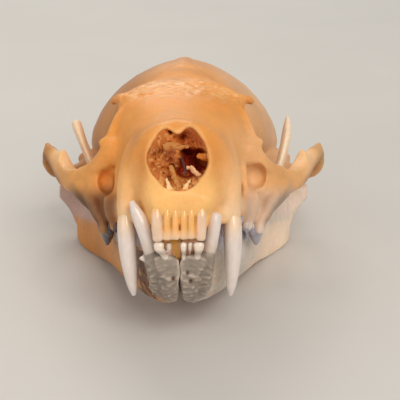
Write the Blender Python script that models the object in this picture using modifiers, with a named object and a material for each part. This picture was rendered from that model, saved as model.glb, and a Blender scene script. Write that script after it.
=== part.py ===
"""Mink skull with its lower jaw, life size, lying on a table as it comes to rest by itself.

Sizes are in millimetres in the skull's own frame: x to the side, y back from the front teeth,
z up from the plane of the palate. The last step tips the nose up to the resting pitch, stands the
skull on z = 0 and turns millimetres into metres.
"""

import math

import bmesh
import bpy
import numpy as np
from mathutils import Matrix

MM = 0.001
REST_PITCH = math.radians(16.0)  # nose up, resting on the jaw angles and the ear capsules
TABLE_LEVEL = -16.75  # height of the table below the frame's zero, after the tip
MIDDLE = 32.25  # middle of the whole skull along the table, after the tip
GAP = 0.3  # between pieces that touch
SYMPHYSIS_GAP = 0.34

# Half widths and heights of the cranium along its length: place y, half width, height of the widest
# point, top, bottom, roundness above and below it (2 is an ellipse, more is boxier)
CRANIUM_SECTIONS = {
    "front_teeth": (0.4, 3.1, 1.3, 2.3, -0.5, 2.2, 2.4),
    "nose_floor": (1.8, 4.1, 1.7, 4.0, -0.7, 2.2, 2.5),
    "nose_side": (3.3, 5.1, 2.4, 6.9, -0.5, 2.3, 2.6),
    "nose_tip": (5.0, 6.2, 3.0, 9.7, -0.2, 2.3, 2.7),
    "canine_root": (8.0, 6.8, 3.6, 10.5, 0.2, 2.2, 2.8),
    "cheek": (12.0, 7.1, 4.6, 11.7, 0.4, 2.2, 2.8),
    "orbit_front": (15.5, 8.1, 7.2, 13.0, 0.5, 2.3, 2.5),
    "brow": (19.0, 8.2, 9.8, 14.5, 0.7, 2.4, 2.3),
    "brow_rear": (22.3, 8.0, 11.8, 15.6, 1.0, 2.4, 2.1),
    "waist_front": (25.5, 6.7, 11.6, 16.3, 1.6, 2.2, 2.1),
    "waist": (29.0, 6.2, 11.0, 16.9, 2.6, 2.1, 2.1),
    "waist_rear": (32.5, 7.6, 10.2, 17.5, 3.2, 1.95, 2.0),
    "temple": (37.0, 10.6, 9.0, 18.3, 3.0, 1.8, 2.0),
    "braincase_front": (42.0, 12.95, 7.8, 19.0, 2.2, 1.72, 2.1),
    "braincase": (48.0, 14.05, 7.0, 19.55, 1.6, 1.7, 2.2),
    "braincase_rear": (54.0, 13.75, 6.9, 19.5, 1.6, 1.72, 2.3),
    "occiput_front": (58.5, 12.5, 7.0, 18.9, 1.9, 1.8, 2.3),
    "occiput": (61.6, 10.9, 7.4, 17.6, 2.5, 1.9, 2.2),
    "occiput_rear": (63.3, 8.2, 8.0, 14.6, 3.4, 2.0, 2.1),
}

# Lower jaw, one half: place y, bottom, top, side place of the bottom and of the top, thickness at
# the bottom and at the top, squareness of the section (1 is an ellipse, 0.3 a plate)
JAW_SECTIONS = {
    "chin_front": (1.2, -7.6, -4.6, 1.2, 1.5, 4.0, 4.6, 0.75),
    "chin": (2.4, -9.4, -4.4, 1.5, 2.1, 5.0, 5.8, 0.75),
    "chin_low": (4.6, -10.5, -4.3, 1.8, 2.4, 5.4, 5.4, 0.75),
    "symphysis_rear": (8.4, -10.8, -4.2, 2.3, 3.5, 4.6, 4.0, 0.8),
    "body_front": (12.6, -10.4, -4.0, 4.4, 5.5, 3.2, 3.4, 0.85),
    "body": (18.0, -9.8, -3.6, 6.3, 7.2, 3.0, 3.5, 0.85),
    "body_rear": (22.5, -9.3, -3.1, 7.8, 8.7, 2.9, 3.1, 0.75),
    "ramus_front": (25.2, -8.9, -2.3, 8.8, 9.7, 2.6, 2.5, 0.65),
    "coronoid_foot": (26.8, -8.8, 0.2, 9.4, 10.5, 2.5, 2.1, 0.55),
    "coronoid_front": (28.6, -8.7, 2.8, 10.1, 11.3, 2.4, 1.7, 0.5),
    "coronoid_middle": (31.2, -8.6, 3.6, 11.3, 11.8, 2.3, 1.7, 0.5),
    "coronoid_rear": (34.2, -7.8, 3.6, 13.3, 12.4, 2.4, 1.7, 0.5),
    "notch": (36.6, -7.15, 2.0, 14.2, 13.1, 2.5, 1.7, 0.5),
    "condyle_neck": (39.0, -6.35, 0.6, 14.4, 13.8, 2.3, 2.2, 0.6),
    "angle": (41.0, -5.2, -1.0, 14.4, 14.0, 1.9, 2.1, 0.7),
}
# Coronoid process, the blade that rises behind the tooth row: place x, y, z, half length and half
# thickness. The right one leans out more.
CORONOID = {
    "right": [(11.4, 31.3, 1.4, 4.6, 0.9), (12.3, 31.2, 4.6, 3.7, 0.76),
              (13.4, 31.3, 7.5, 2.8, 0.70), (14.5, 31.8, 9.9, 1.7, 0.64)],
    "left": [(11.8, 31.3, 1.4, 4.6, 0.9), (13.0, 31.2, 4.6, 3.7, 0.76),
             (13.7, 31.3, 7.7, 2.8, 0.70), (14.3, 31.8, 10.5, 1.7, 0.64)],
}
CONDYLE = {"inner": (10.4, 40.9, 0.0), "outer": (18.5, 40.2, 0.5), "radius": 1.15}
ANGLE_TIP = (14.3, 43.6, -4.3)

# Cheek arch from its root at the cheek to its root at the ear: place x, y, z along its middle, half
# height and half thickness
ARCH = [
    (9.6, 16.4, 1.8, 1.5, 1.0),
    (12.6, 19.0, 2.2, 1.6, 0.95),
    (13.6, 21.0, 2.6, 1.7, 0.9),
    (15.0, 24.2, 3.6, 2.0, 0.85),
    (16.5, 27.6, 4.4, 1.8, 0.8),
    (17.7, 31.0, 5.3, 1.5, 0.85),
    (18.7, 34.2, 5.9, 1.3, 0.9),
    (19.1, 36.6, 5.1, 1.7, 0.95),
    (18.6, 38.8, 3.9, 1.9, 1.0),
    (17.0, 40.8, 3.4, 1.8, 1.5),
    (13.6, 42.0, 3.6, 1.7, 2.2),
    (10.0, 43.0, 4.6, 1.9, 2.4),
]
# The two sutures of the arch: place x, y, z of the thin cut and its slant off upright, in degrees
SUTURES = ((14.0, 21.8, 2.9, -32), (19.0, 37.2, 4.8, 38))
ORBIT = {"centre": (13.7, 22.6, 8.8), "radii": (6.3, 5.8, 4.9)}
CHEEK_HOLE = {"centre": (9.3, 15.0, 2.95), "radii": (1.2, 2.9, 1.5)}  # for the nerve below the eye

# Rim of the heart-shaped nose opening from the front, from its foot up round one lobe to the notch
NOSE_RIM = [(0.05, 2.5), (1.75, 3.2), (2.7, 4.3), (3.3, 5.3), (3.46, 6.3), (3.2, 7.4), (2.6, 8.6),
            (1.45, 9.6), (0.6, 9.35), (0.05, 8.85)]
NOSE_DEPTH = 12.0

# Teeth. Canines: axis points with half widths across and along the jaw
UPPER_GUM = 0.1
UPPER_CANINE = [
    (6.20, 5.6, -0.2, 0.95, 1.50),
    (6.20, 5.3, -1.4, 1.04, 1.55),
    (6.15, 5.1, -2.7, 1.08, 1.47),
    (6.02, 5.0, -4.6, 1.03, 1.30),
    (5.84, 5.2, -6.4, 0.90, 1.08),
    (5.66, 5.55, -8.1, 0.68, 0.80),
    (5.50, 5.9, -9.25, 0.46, 0.52),
    (5.42, 6.1, -9.9, 0.24, 0.27),
]
# Shift of each upper crown to the side, and how far it stands outwards for each unit down
UPPER_SET = {"right": (0.0, 0.0), "left": (-0.3, 0.07)}
LOWER_GUM = -4.9
LOWER_CANINE = {
    "right": [
        (3.15, 3.5, -4.6, 1.08, 1.40),
        (3.35, 3.3, -3.9, 1.06, 1.32),
        (3.80, 3.0, -2.7, 1.00, 1.15),
        (4.50, 2.8, -1.0, 0.84, 0.93),
        (5.10, 2.7, 0.3, 0.60, 0.66),
        (5.50, 2.8, 1.3, 0.28, 0.30),
    ],
    "left": [  # worn short and blunt
        (3.35, 3.5, -4.6, 1.18, 1.45),
        (3.45, 3.3, -3.7, 1.12, 1.35),
        (3.68, 3.0, -2.4, 1.00, 1.15),
        (3.90, 2.8, -1.2, 0.86, 0.96),
        (4.08, 2.75, -0.2, 0.66, 0.74),
    ],
}
# Front teeth: side place at the gum and at the edge, half width, edge height
UPPER_INCISORS = [(0.46, 0.44, 0.39, -2.75), (1.36, 1.28, 0.42, -2.8), (2.55, 2.35, 0.66, -3.0)]
LOWER_INCISORS = [(0.60, 0.52, 0.30, -3.45), (1.22, 1.28, 0.34, -3.45), (1.90, 2.20, 0.46, -3.3)]
# Cheek teeth: place x, y, z of the gum, length, width, crown height, turn of the long side outwards
UPPER_CHEEK = {
    "p2": (6.8, 9.4, -1.1, 2.0, 1.4, 1.2, 4),
    "p3": (7.95, 12.4, -1.7, 3.0, 1.6, 1.7, 12),
    "p4": (9.5, 16.7, -1.9, 6.0, 1.8, 3.3, 14),
    "m1": (8.5, 21.8, -0.5, 2.6, 4.6, 1.6, 8),
}
LOWER_CHEEK = {
    "p2": (4.3, 8.2, -3.8, 1.9, 1.3, 1.3, 18),
    "p3": (5.0, 10.6, -3.8, 2.5, 1.5, 1.9, 20),
    "p4": (5.8, 13.4, -3.8, 2.9, 1.7, 2.4, 18),
    "m1": (7.0, 18.0, -3.8, 6.6, 1.9, 3.3, 14),
    "m2": (8.2, 22.3, -3.8, 1.7, 1.5, 0.8, 14),
}

BONE = ((0.80, 0.56, 0.30, 1.0), 0.55)
ENAMEL = ((0.88, 0.83, 0.76, 1.0), 0.25)


def through(knots, values, at):
    """Smooth curve through values at knots: cubic pieces whose slopes come from the neighbours."""
    knots = np.asarray(knots, float)
    values = np.asarray(values, float).reshape(len(knots), -1)
    slopes = np.gradient(values, knots, axis=0)
    place = np.clip(np.searchsorted(knots, at, side="right") - 1, 0, len(knots) - 2)
    step = (knots[place + 1] - knots[place])[:, None]
    t = (np.asarray(at) - knots[place])[:, None] / step
    rise = (1 + 2 * t) * (1 - t) ** 2 * values[place] + t * t * (3 - 2 * t) * values[place + 1]
    return rise + step * t * (1 - t) * ((1 - t) * slopes[place] - t * slopes[place + 1])


def loft(rings):
    """Closed solid through rings of points, an array of rings by points by 3, with its ends filled."""
    count, around = rings.shape[:2]
    points = np.vstack([rings.reshape(-1, 3), rings[0].mean(0), rings[-1].mean(0)])
    first, last = count * around, count * around + 1
    step = np.arange(around)
    after = (step + 1) % around
    low = np.arange(count - 1)[:, None] * around
    sides = np.stack([low + step, low + after, low + around + after, low + around + step], -1)
    faces = sides.reshape(-1, 4).tolist()
    faces += np.stack([np.full(around, first), after, step], -1).tolist()
    top = (count - 1) * around
    faces += np.stack([np.full(around, last), top + step, top + after], -1).tolist()
    return points, faces


def tube(stations, aim, steps=14, around=12, blunt=0.35):
    """Bar through (x, y, z, half width along aim, half width across it), rounded off at both ends."""
    stations = np.asarray(stations, float)
    length = np.r_[0, np.cumsum(np.linalg.norm(np.diff(stations[:, :3], axis=0), axis=1))]
    at = length[-1] * (1 - np.cos(np.linspace(0, math.pi, steps))) / 2
    line = through(length, stations, at)
    along = np.gradient(line[:, :3], axis=0)
    along /= np.linalg.norm(along, axis=1, keepdims=True)
    aim = np.asarray(aim, float)
    wide = aim - (along @ aim)[:, None] * along
    wide /= np.linalg.norm(wide, axis=1, keepdims=True)
    deep = np.cross(along, wide)
    ends = np.minimum(1, blunt + (1 - blunt) * np.minimum(np.arange(steps), np.arange(steps)[::-1]))
    turn = np.linspace(0, 2 * math.pi, around, endpoint=False)
    offset = (
        np.cos(turn)[None, :, None] * (wide * (line[:, 3] * ends)[:, None])[:, None]
        + np.sin(turn)[None, :, None] * (deep * (line[:, 4] * ends)[:, None])[:, None]
    )
    return loft(line[:, None, :3] + offset)


def power(value, exponent):
    return np.sign(value) * np.abs(value) ** exponent


def skin(y, turn):
    """Point of the cranium's surface at place y, turned so far up from its own side, in radians."""
    rows = np.array(list(CRANIUM_SECTIONS.values()))
    y, turn = np.broadcast_arrays(np.asarray(y, float), np.asarray(turn, float))
    at, half, middle, top, bottom, upper, lower = [
        part.reshape(y.shape) for part in through(rows[:, 0], rows, y.ravel()).T
    ]
    above = np.sin(turn) > 0
    shape = np.where(above, upper, lower)
    x = half * power(np.cos(turn), 2 / shape)
    z = middle + np.where(above, top - middle, middle - bottom) * power(np.sin(turn), 2 / shape)
    return np.stack([x, y, z], -1)


def cranium_body(steps=64, around=40):
    """Loft of the rostrum, brow and braincase through upright sections."""
    places = [row[0] for row in CRANIUM_SECTIONS.values()]
    at = np.linspace(places[0], places[-1], steps)
    turn = np.linspace(0, 2 * math.pi, around, endpoint=False)
    return loft(skin(at[:, None], turn[None])[:, ::-1])


def on_skin(places, turns, half_height, half_width, lift=0.0, aim=(0, 0, 1), steps=24):
    """Low ridge that follows the cranium's surface past the given places and turns, in degrees."""
    knots = np.arange(len(places))
    at = np.linspace(0, knots[-1], 4 * len(places))
    y = through(knots, places, at)[:, 0]
    turn = np.radians(through(knots, turns, at)[:, 0])
    path = skin(y, turn)
    out = skin(y, turn) - np.stack([0 * y, y, np.full_like(y, 8.0)], -1)
    path = path + lift * out / np.linalg.norm(out, axis=1, keepdims=True)
    size = np.full(len(y), 1.0)
    return tube(np.c_[path, size * half_height, size * half_width], aim, steps=steps)


def jaw_body(steps=70, around=28):
    """Loft of one half of the lower jaw: upright sections from the lower edge to the tooth row."""
    rows = np.array(list(JAW_SECTIONS.values()))
    at = np.linspace(rows[0, 0], rows[-1, 0], steps)
    y, bottom, top, low_x, high_x, thick_low, thick_high, square = through(
        rows[:, 0], rows, at
    ).T[:, :, None]
    turn = np.linspace(0, 2 * math.pi, around, endpoint=False)[None]
    share = (1 - np.cos(turn)) / 2
    thick = (thick_low + (thick_high - thick_low) * share) / 2
    x = low_x + (high_x - low_x) * share + thick * power(np.sin(turn), square)
    x = np.maximum(x, SYMPHYSIS_GAP / 2)
    z = bottom + (top - bottom) * share
    return loft(np.stack([x, np.broadcast_to(y, x.shape), z], -1)[:, ::-1])


def ball(centre, radii, tilt=0.0):
    """Egg shape: a sphere stretched to its three radii and tilted about x, in degrees."""
    form = bmesh.new()
    place = Matrix.Translation(centre) @ Matrix.Rotation(math.radians(tilt), 4, "X")
    bmesh.ops.create_uvsphere(form, u_segments=20, v_segments=12, radius=1)
    bmesh.ops.transform(form, matrix=place @ Matrix.Diagonal((*radii, 1)), verts=form.verts)
    points = np.array([v.co[:] for v in form.verts])
    faces = [[v.index for v in f.verts] for f in form.faces]
    form.free()
    return points, faces


def mirrored(solid):
    points, faces = solid
    return points * (-1, 1, 1), [face[::-1] for face in faces]


def pairs(solids):
    return solids + [mirrored(solid) for solid in solids]


def canine(stations, shift=0.0, lean=0.0, blunt=0.5):
    """Curved tooth with a flat foot on its gum plane."""
    stations = np.asarray(stations, float)
    stations[:, 0] += shift + lean * np.abs(stations[:, 2] - stations[0, 2])
    points, faces = tube(stations, (1, 0, 0), steps=16, around=12, blunt=blunt)
    foot = tube(stations[:2], (1, 0, 0), steps=2, around=12, blunt=1)[0][:12]
    points[:12] = foot
    points[:12, 2] = points[-2, 2] = stations[0, 2]
    return points, faces


def incisor(gum_x, edge_x, half, edge, gum, front):
    """Peg tooth with a flattened cutting edge. It leans back from the edge to the gum."""
    reach = gum - edge
    stations = [
        (gum_x, front + 0.5, gum + math.copysign(1.3, reach), half * 0.8, 0.5),
        (gum_x, front + 0.2, gum, half * 0.9, 0.55),
        (edge_x, front, edge + 0.35 * reach, half, 0.45),
        (edge_x, front, edge, half * 0.9, 0.28),
    ]
    return tube(stations, (1, 0, 0), steps=8, around=8, blunt=0.8)


def cheek_tooth(x, y, gum, length, width, height, turn, down):
    """Crown with one main cusp: an oval foot drawn up to a short ridge, with its root sunk in."""
    sign = -1 if down else 1
    angle = math.radians(turn)
    aim = (math.sin(angle), math.cos(angle), 0)
    shrink = [(-1.2, 0.72), (0.0, 1.0), (0.42, 0.82), (0.78, 0.46), (1.0, 0.16)]
    stations = [
        (x, y, gum + sign * height * up if up > 0 else gum + sign * up, length / 2 * k, width / 2 * k)
        for up, k in shrink
    ]
    return tube(stations, aim, steps=9, around=10, blunt=0.9)


def heart_cutter():
    """Nose opening as a prism from the front, narrower towards its back."""
    rim = np.array(NOSE_RIM)
    knots = np.arange(len(rim))
    half = through(knots, rim, np.linspace(0, knots[-1], 20))
    flat = np.vstack([half, (half * (-1, 1))[::-1]])
    middle = np.array([0, 6.2])
    rings = [
        np.insert(middle + (flat - middle) * share, 1, depth, axis=1)
        for depth, share in ((-2.0, 1.0), (NOSE_DEPTH * 0.7, 0.95), (NOSE_DEPTH, 0.55))
    ]
    return loft(np.array(rings)[:, ::-1])


def scrolls():
    """Partition and curled plates inside the nose, rooted in its back wall and its sides."""
    wall = tube([(0, 4.6, 5.6, 2.9, 0.3), (0, 8, 6.0, 3.4, 0.3), (0, 13, 6.4, 3.6, 0.35)], (0, 0, 1))
    plates = [wall]
    for side, front, z, lean in ((-1.7, 4.6, 4.4, 0.7), (-1.9, 5.2, 6.9, -0.6), (1.8, 7.0, 4.6, -0.7)):
        plates.append(
            tube(
                [(side, front, z, 1.1, 0.36), (side * 1.05, 9, z + lean, 1.3, 0.4),
                 (side * 1.1, 13, z + lean, 1.3, 0.4)],
                (0.3, 0, 1),
            )
        )
    return plates


def add_object(name, solid, colour=BONE):
    """Object from points and faces in millimetres, with its own plain material."""
    points, faces = solid
    mesh = bpy.data.meshes.new(name)
    mesh.from_pydata((points * MM).tolist(), [], faces)
    mesh.validate()
    obj = bpy.data.objects.new(name, mesh)
    bpy.data.collections["mink_skull"].objects.link(obj)
    material = bpy.data.materials.new(name + "_surface")
    material.use_nodes = True
    shader = material.node_tree.nodes["Principled BSDF"]
    shader.inputs["Base Color"].default_value = colour[0]
    shader.inputs["Roughness"].default_value = colour[1]
    mesh.materials.append(material)
    return obj


def applied(obj):
    """Gives the object the mesh that its modifiers make, and clears them."""
    graph = bpy.context.evaluated_depsgraph_get()
    old = obj.data
    obj.data = bpy.data.meshes.new_from_object(obj.evaluated_get(graph))
    obj.modifiers.clear()
    bpy.data.meshes.remove(old)


def boolean(obj, solids, operation, solver="EXACT"):
    """Joins solids to the object, or cuts them out of it, in one Boolean on their collection."""
    group = bpy.data.collections.new(obj.name + "_" + operation.lower())
    bpy.context.scene.collection.children.link(group)
    for index, solid in enumerate(solids):
        tool = add_object(f"{group.name}_{index}", solid)
        bpy.data.collections["mink_skull"].objects.unlink(tool)
        group.objects.link(tool)
        tool.hide_render = True
        tool.display_type = "WIRE"
    modifier = obj.modifiers.new(operation, "BOOLEAN")
    modifier.operation = operation
    modifier.operand_type = "COLLECTION"
    modifier.collection = group
    modifier.solver = solver
    applied(obj)
    for tool in list(group.objects):
        bpy.data.objects.remove(tool)
    bpy.data.collections.remove(group)


def soften(obj, voxel, rounds, faces):
    """Melts the joined forms into one skin, smooths it and thins it to about that many triangles."""
    remesh = obj.modifiers.new("skin", "REMESH")
    remesh.mode = "VOXEL"
    remesh.voxel_size = voxel * MM
    smooth = obj.modifiers.new("smooth", "SMOOTH")
    smooth.factor = 0.5
    smooth.iterations = rounds
    applied(obj)
    thin = obj.modifiers.new("thin", "DECIMATE")
    thin.ratio = min(1.0, faces / (2 * len(obj.data.polygons)))
    thin.use_collapse_triangulate = True
    applied(obj)


def closed_surfaces(form):
    """The separate closed surfaces of a mesh as sets of faces, the largest first."""
    left = set(form.faces)
    found = []
    while left:
        grown, edge = set(), [left.pop()]
        while edge:
            face = edge.pop()
            grown.add(face)
            for line in face.edges:
                for other in line.link_faces:
                    if other in left:
                        left.remove(other)
                        edge.append(other)
        found.append(grown)
    return sorted(found, key=lambda faces: -sum(f.calc_area() for f in faces))


def keep_one(obj, side=0):
    """Keeps only the largest closed surface of the mesh, or the largest well out on one side."""
    form = bmesh.new()
    form.from_mesh(obj.data)
    bmesh.ops.remove_doubles(form, verts=form.verts, dist=1e-7)
    found = closed_surfaces(form)
    if side:
        found = [faces for faces in found[1:] if next(iter(faces)).verts[0].co.x * side > 11 * MM]
    loose = [f for f in form.faces if f not in found[0]]
    bmesh.ops.delete(form, geom=loose, context="FACES")
    form.to_mesh(obj.data)
    form.free()


def rest_matrix():
    """From the skull's own frame to the table: nose up, lowest point on z = 0, middle over the origin."""
    tip = Matrix.Rotation(-REST_PITCH, 4, "X")
    return Matrix.Translation((0, -MIDDLE * MM, -TABLE_LEVEL * MM)) @ tip


def finish(obj, flat=True):
    """Sets the object on the table, with a small flat where it meets it, and shades it smooth."""
    keep_one(obj)
    obj.data.transform(rest_matrix())
    if flat:
        form = bmesh.new()
        form.from_mesh(obj.data)
        everything = form.verts[:] + form.edges[:] + form.faces[:]
        cut = bmesh.ops.bisect_plane(
            form, geom=everything, plane_co=(0, 0, 0), plane_no=(0, 0, -1), clear_outer=True
        )
        rim = [e for e in cut["geom_cut"] if isinstance(e, bmesh.types.BMEdge)]
        bmesh.ops.holes_fill(form, edges=rim)
        bmesh.ops.triangulate(form, faces=form.faces[:])
        form.to_mesh(obj.data)
        form.free()
    obj.data.shade_smooth()
    obj.data.set_sharp_from_angle(angle=math.radians(50))


def cranium_pieces():
    """Everything that grows on the cranium's loft, one side first and then its mirror."""
    side = [
        # root of the upper canine, a long swelling up the side of the muzzle
        tube([(6.2, 5.5, -0.8, 1.25, 1.8), (6.15, 5.6, 1.5, 1.3, 1.9), (6.0, 6.3, 4.4, 1.25, 1.8),
              (5.6, 8.0, 7.4, 1.05, 1.4), (5.2, 9.8, 9.2, 0.8, 0.9)], (1, 0, 0)),
        # gum ridge that carries the cheek teeth
        tube([(6.3, 7.0, 0.4, 1.2, 1.1), (6.8, 10, 0.0, 1.5, 1.15), (7.9, 13.2, -0.5, 1.6, 1.2),
              (9.0, 16.4, -0.6, 1.7, 1.25), (9.4, 19.0, -0.4, 1.6, 1.3), (8.9, 21.4, 0.4, 1.5, 2.0),
              (7.1, 24.4, 1.4, 1.2, 1.8)], (0, 0, 1)),
        # swellings over the roots of the two largest cheek teeth
        tube([(8.2, 13.0, 1.6, 0.6, 0.6), (8.55, 12.8, -0.4, 0.75, 0.75), (8.4, 12.7, -2.0, 0.65, 0.65)],
             (1, 0, 0)),
        tube([(11.2, 17.4, 0.6, 0.7, 0.7), (10.5, 16.2, -0.8, 0.8, 0.8), (9.9, 15.6, -2.3, 0.7, 0.7)],
             (1, 0, 0)),
        # gum that holds the front teeth
        tube([(0.2, 1.5, 0.5, 1.3, 1.0), (1.6, 1.7, 0.4, 1.3, 1.0), (3.0, 2.3, 0.4, 1.2, 0.95)], (0, 0, 1)),
        # upper bar of the cheek root, from the knob of the tear bone down to the arch
        tube([(7.6, 14.2, 6.7, 1.9, 0.9), (8.9, 14.9, 6.0, 1.5, 0.85), (10.0, 15.6, 5.1, 1.1, 0.8),
              (11.2, 16.9, 4.2, 0.95, 0.8), (12.9, 18.9, 3.4, 1.0, 0.8)], (0, 0, 1)),
        # wall behind the hole, the floor of the orbit
        tube([(6.6, 18.8, 3.2, 2.2, 0.8), (9.0, 18.9, 3.2, 2.2, 0.8),
              (11.6, 19.7, 2.8, 1.8, 0.8)], (0, 0, 1)),
        tube([(10.7, 16.5, 4.6, 0.6, 0.7), (11.2, 17.0, 2.8, 0.7, 0.8), (10.9, 16.8, 1.0, 0.8, 0.9)],
             (1, 0, 0)),
        tube([(8.2, 15.4, 7.4, 0.8, 0.8), (9.5, 15.2, 7.6, 0.5, 0.5)], (0, 0, 1), steps=6, around=10),
        # lower bar of the cheek root, under the hole
        tube([(8.2, 15.4, -0.2, 1.3, 1.3), (10.0, 16.6, -0.3, 1.5, 1.4), (11.5, 17.8, 0.7, 1.5, 1.15),
              (13.0, 19.4, 2.0, 1.5, 0.95)], (0, 0, 1)),
        # the cheek arch and the small point on it behind the orbit
        tube(ARCH, (0, 0, 1), steps=28, around=14, blunt=1),
        tube([(15.9, 25.8, 4.4, 1.6, 0.7), (15.7, 26.3, 6.5, 0.5, 0.5)], (0, 1, 0), steps=7, around=8),
        # point of the brow behind the orbit
        tube([(6.4, 21.4, 13.0, 0.9, 1.5), (8.0, 22.6, 13.1, 0.75, 1.1), (9.0, 23.4, 12.7, 0.55, 0.6)],
             (0, 0, 1)),
        # ridge from the brow point back to the crest
        on_skin([23, 26, 30, 34, 38], [38, 50, 66, 80, 88], 0.45, 0.5, lift=0.1),
        # ear capsule and the lip of the ear opening
        ball((7.6, 49.4, 0.9), (3.9, 7.4, 3.9), tilt=-4),
        tube([(9.6, 47.6, 1.5, 2.0, 2.2), (12.6, 46.9, 2.6, 1.6, 1.7)], (0, 0, 1), blunt=0.7),
        # process behind the ear, and the small one beside the neck joint
        tube([(11.8, 52.0, 6.4, 2.2, 2.6), (13.4, 54.0, 3.4, 1.8, 2.3), (13.6, 54.8, 1.0, 1.0, 1.3)],
             (1, 0, 0)),
        tube([(10.4, 56.6, 3.6, 1.3, 1.5), (10.6, 58.6, 0.2, 0.8, 0.9)], (1, 0, 0)),
        # neck joint, curved round the side of the neck opening
        tube([(1.6, 62.6, 2.3, 1.1, 1.4), (3.8, 64.2, 2.9, 1.7, 1.8), (5.4, 64.3, 4.6, 1.7, 1.7),
              (6.0, 62.8, 7.0, 1.2, 1.2)], (0, 0, 1)),
        # wing beside the inner nostril, ending in a small hook
        tube([(3.9, 27.0, 2.4, 1.8, 0.7), (3.6, 32, 2.6, 2.0, 0.55), (3.9, 37, 2.9, 2.0, 0.5),
              (4.2, 40.4, 1.2, 0.7, 0.4)], (0, 0, 1)),
        # crest across the nape, from above the neck down to the process behind the ear
        on_skin([63.0, 62.4, 61.2, 59.4, 57.2, 54.6], [90, 74, 56, 34, 10, -20], 0.9, 0.6, lift=0.35,
                aim=(0.3, 0.2, 1)),
    ]
    crest = on_skin([34, 40, 47, 54, 60, 63.1], [90, 90, 90, 90, 90, 90], 0.4, 1.0)
    return pairs(side) + [crest]


def condyle_solid(grow=0.0):
    """Roller of the jaw joint, lying across the jaw."""
    ends = np.array([CONDYLE["inner"], CONDYLE["outer"]], float)
    reach = (ends[1] - ends[0]) / np.linalg.norm(ends[1] - ends[0]) * grow
    radius = CONDYLE["radius"] + grow
    middle = ends.mean(0)
    stations = [(*(ends[0] - reach), radius * 0.85, radius * 0.85), (*middle, radius, radius),
                (*(ends[1] + reach), radius * 0.85, radius * 0.85)]
    return tube(stations, (0, 0, 1), steps=12, blunt=0.5)


def box(centre, size, slant=0.0):
    """Block about a centre, slanted about x in degrees."""
    form = bmesh.new()
    bmesh.ops.create_cube(form, size=1)
    place = Matrix.Translation(centre) @ Matrix.Rotation(math.radians(slant), 4, "X")
    bmesh.ops.transform(form, matrix=place @ Matrix.Diagonal((*size, 1)), verts=form.verts)
    points = np.array([v.co[:] for v in form.verts])
    faces = [[v.index for v in f.verts] for f in form.faces]
    form.free()
    return points, faces


def cranium_cutters():
    """Orbits, ear openings, inner nostril, neck opening and the nose opening."""
    side = [
        ball(ORBIT["centre"], ORBIT["radii"]),
        ball(CHEEK_HOLE["centre"], CHEEK_HOLE["radii"], tilt=-8),
        tube([(16.0, 46.0, 3.0, 1.0, 1.1), (9.5, 47.4, 1.8, 1.0, 1.1)], (0, 0, 1)),
    ]
    nostril = tube([(0, 28.5, 0.6, 2.2, 2.2), (0, 34, 1.4, 2.4, 2.6), (0, 41, 1.2, 1.0, 2.4)], (0, 0, 1))
    neck = ball((0, 65.5, 6.6), (3.9, 6.5, 3.2))
    return pairs(side) + [nostril, neck, heart_cutter()]


def build_cranium():
    """The cranium with its small teeth, and the two cheek arches parted from it at their sutures."""
    bone = add_object("cranium", cranium_body())
    boolean(bone, cranium_pieces(), "UNION")
    boolean(bone, cranium_cutters(), "DIFFERENCE")
    boolean(bone, scrolls(), "UNION")
    soften(bone, voxel=0.36, rounds=2, faces=6400)
    cuts = [box((6.6, 5.6, UPPER_GUM - 2.0), (3.6, 5.0, 4.0)), condyle_solid(grow=GAP)]
    cuts += [box(suture[:3], (9.0, GAP, 9.0), -suture[3]) for suture in SUTURES]
    boolean(bone, pairs(cuts), "DIFFERENCE")
    for name, side in (("left", 1), ("right", -1)):
        arch = add_object("zygomatic_arch_" + name, box((0, 0, 0), (1, 1, 1)))
        material = arch.data.materials[0]
        arch.data = bone.data.copy()
        arch.data.materials[0] = material
        keep_one(arch, side)
        finish(arch, flat=False)
    keep_one(bone)
    teeth = [incisor(*row, gum=0.0, front=0.6) for row in UPPER_INCISORS]
    teeth += [cheek_tooth(*row, down=True) for row in UPPER_CHEEK.values()]
    boolean(bone, pairs(teeth), "UNION")
    finish(bone)


def build_jaw(name, side):
    """One half of the lower jaw with its teeth, joint head and angle."""
    forms = [
        condyle_solid(),
        tube(CORONOID["left" if side > 0 else "right"], (0.08, 1, 0), around=16, blunt=0.6),
        # web that carries the joint head, and the ridge along the outside of the angle
        tube([(14.2, 38.6, -4.4, 1.2, 1.5), (14.8, 39.6, -1.6, 2.1, 1.3), (15.2, 40.3, 0.0, 3.1, 1.0)],
             (1, 0, 0)),
        tube([(14.3, 38.6, -4.6, 1.1, 1.0), (14.4, 41.0, -4.6, 1.0, 0.9),
              (*ANGLE_TIP, 0.6, 0.55)], (0, 0, 1)),
        # root of the lower canine, a swelling at the front of the chin
        tube([(3.15, 3.4, -4.2, 1.3, 1.7), (3.1, 3.6, -6.0, 1.6, 1.9), (2.9, 4.6, -8.0, 1.5, 1.6),
              (2.6, 6.2, -9.4, 1.3, 1.1)], (1, 0, 0)),
    ]
    hollow = ball((18.1, 34.2, -0.4), (4.6, 4.6, 5.2))  # where the chewing muscle lay
    gum = box((3.85, 2.4, LOWER_GUM + 2.5), (4.0, 6.0, 5.0))
    teeth = [incisor(*row, gum=-4.8, front=0.85) for row in LOWER_INCISORS]
    teeth += [cheek_tooth(*row, down=False) for row in LOWER_CHEEK.values()]
    turn = (lambda solid: solid) if side > 0 else mirrored
    bone = add_object(name, turn(jaw_body()))
    boolean(bone, [turn(form) for form in forms], "UNION")
    boolean(bone, [turn(hollow)], "DIFFERENCE")
    soften(bone, voxel=0.3, rounds=2, faces=1700)
    boolean(bone, [turn(gum)], "DIFFERENCE")
    boolean(bone, [turn(tooth) for tooth in teeth], "UNION")
    finish(bone)


def build_canine(name, solid, side):
    tooth = add_object(name, solid if side > 0 else mirrored(solid), ENAMEL)
    finish(tooth, flat=False)


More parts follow.
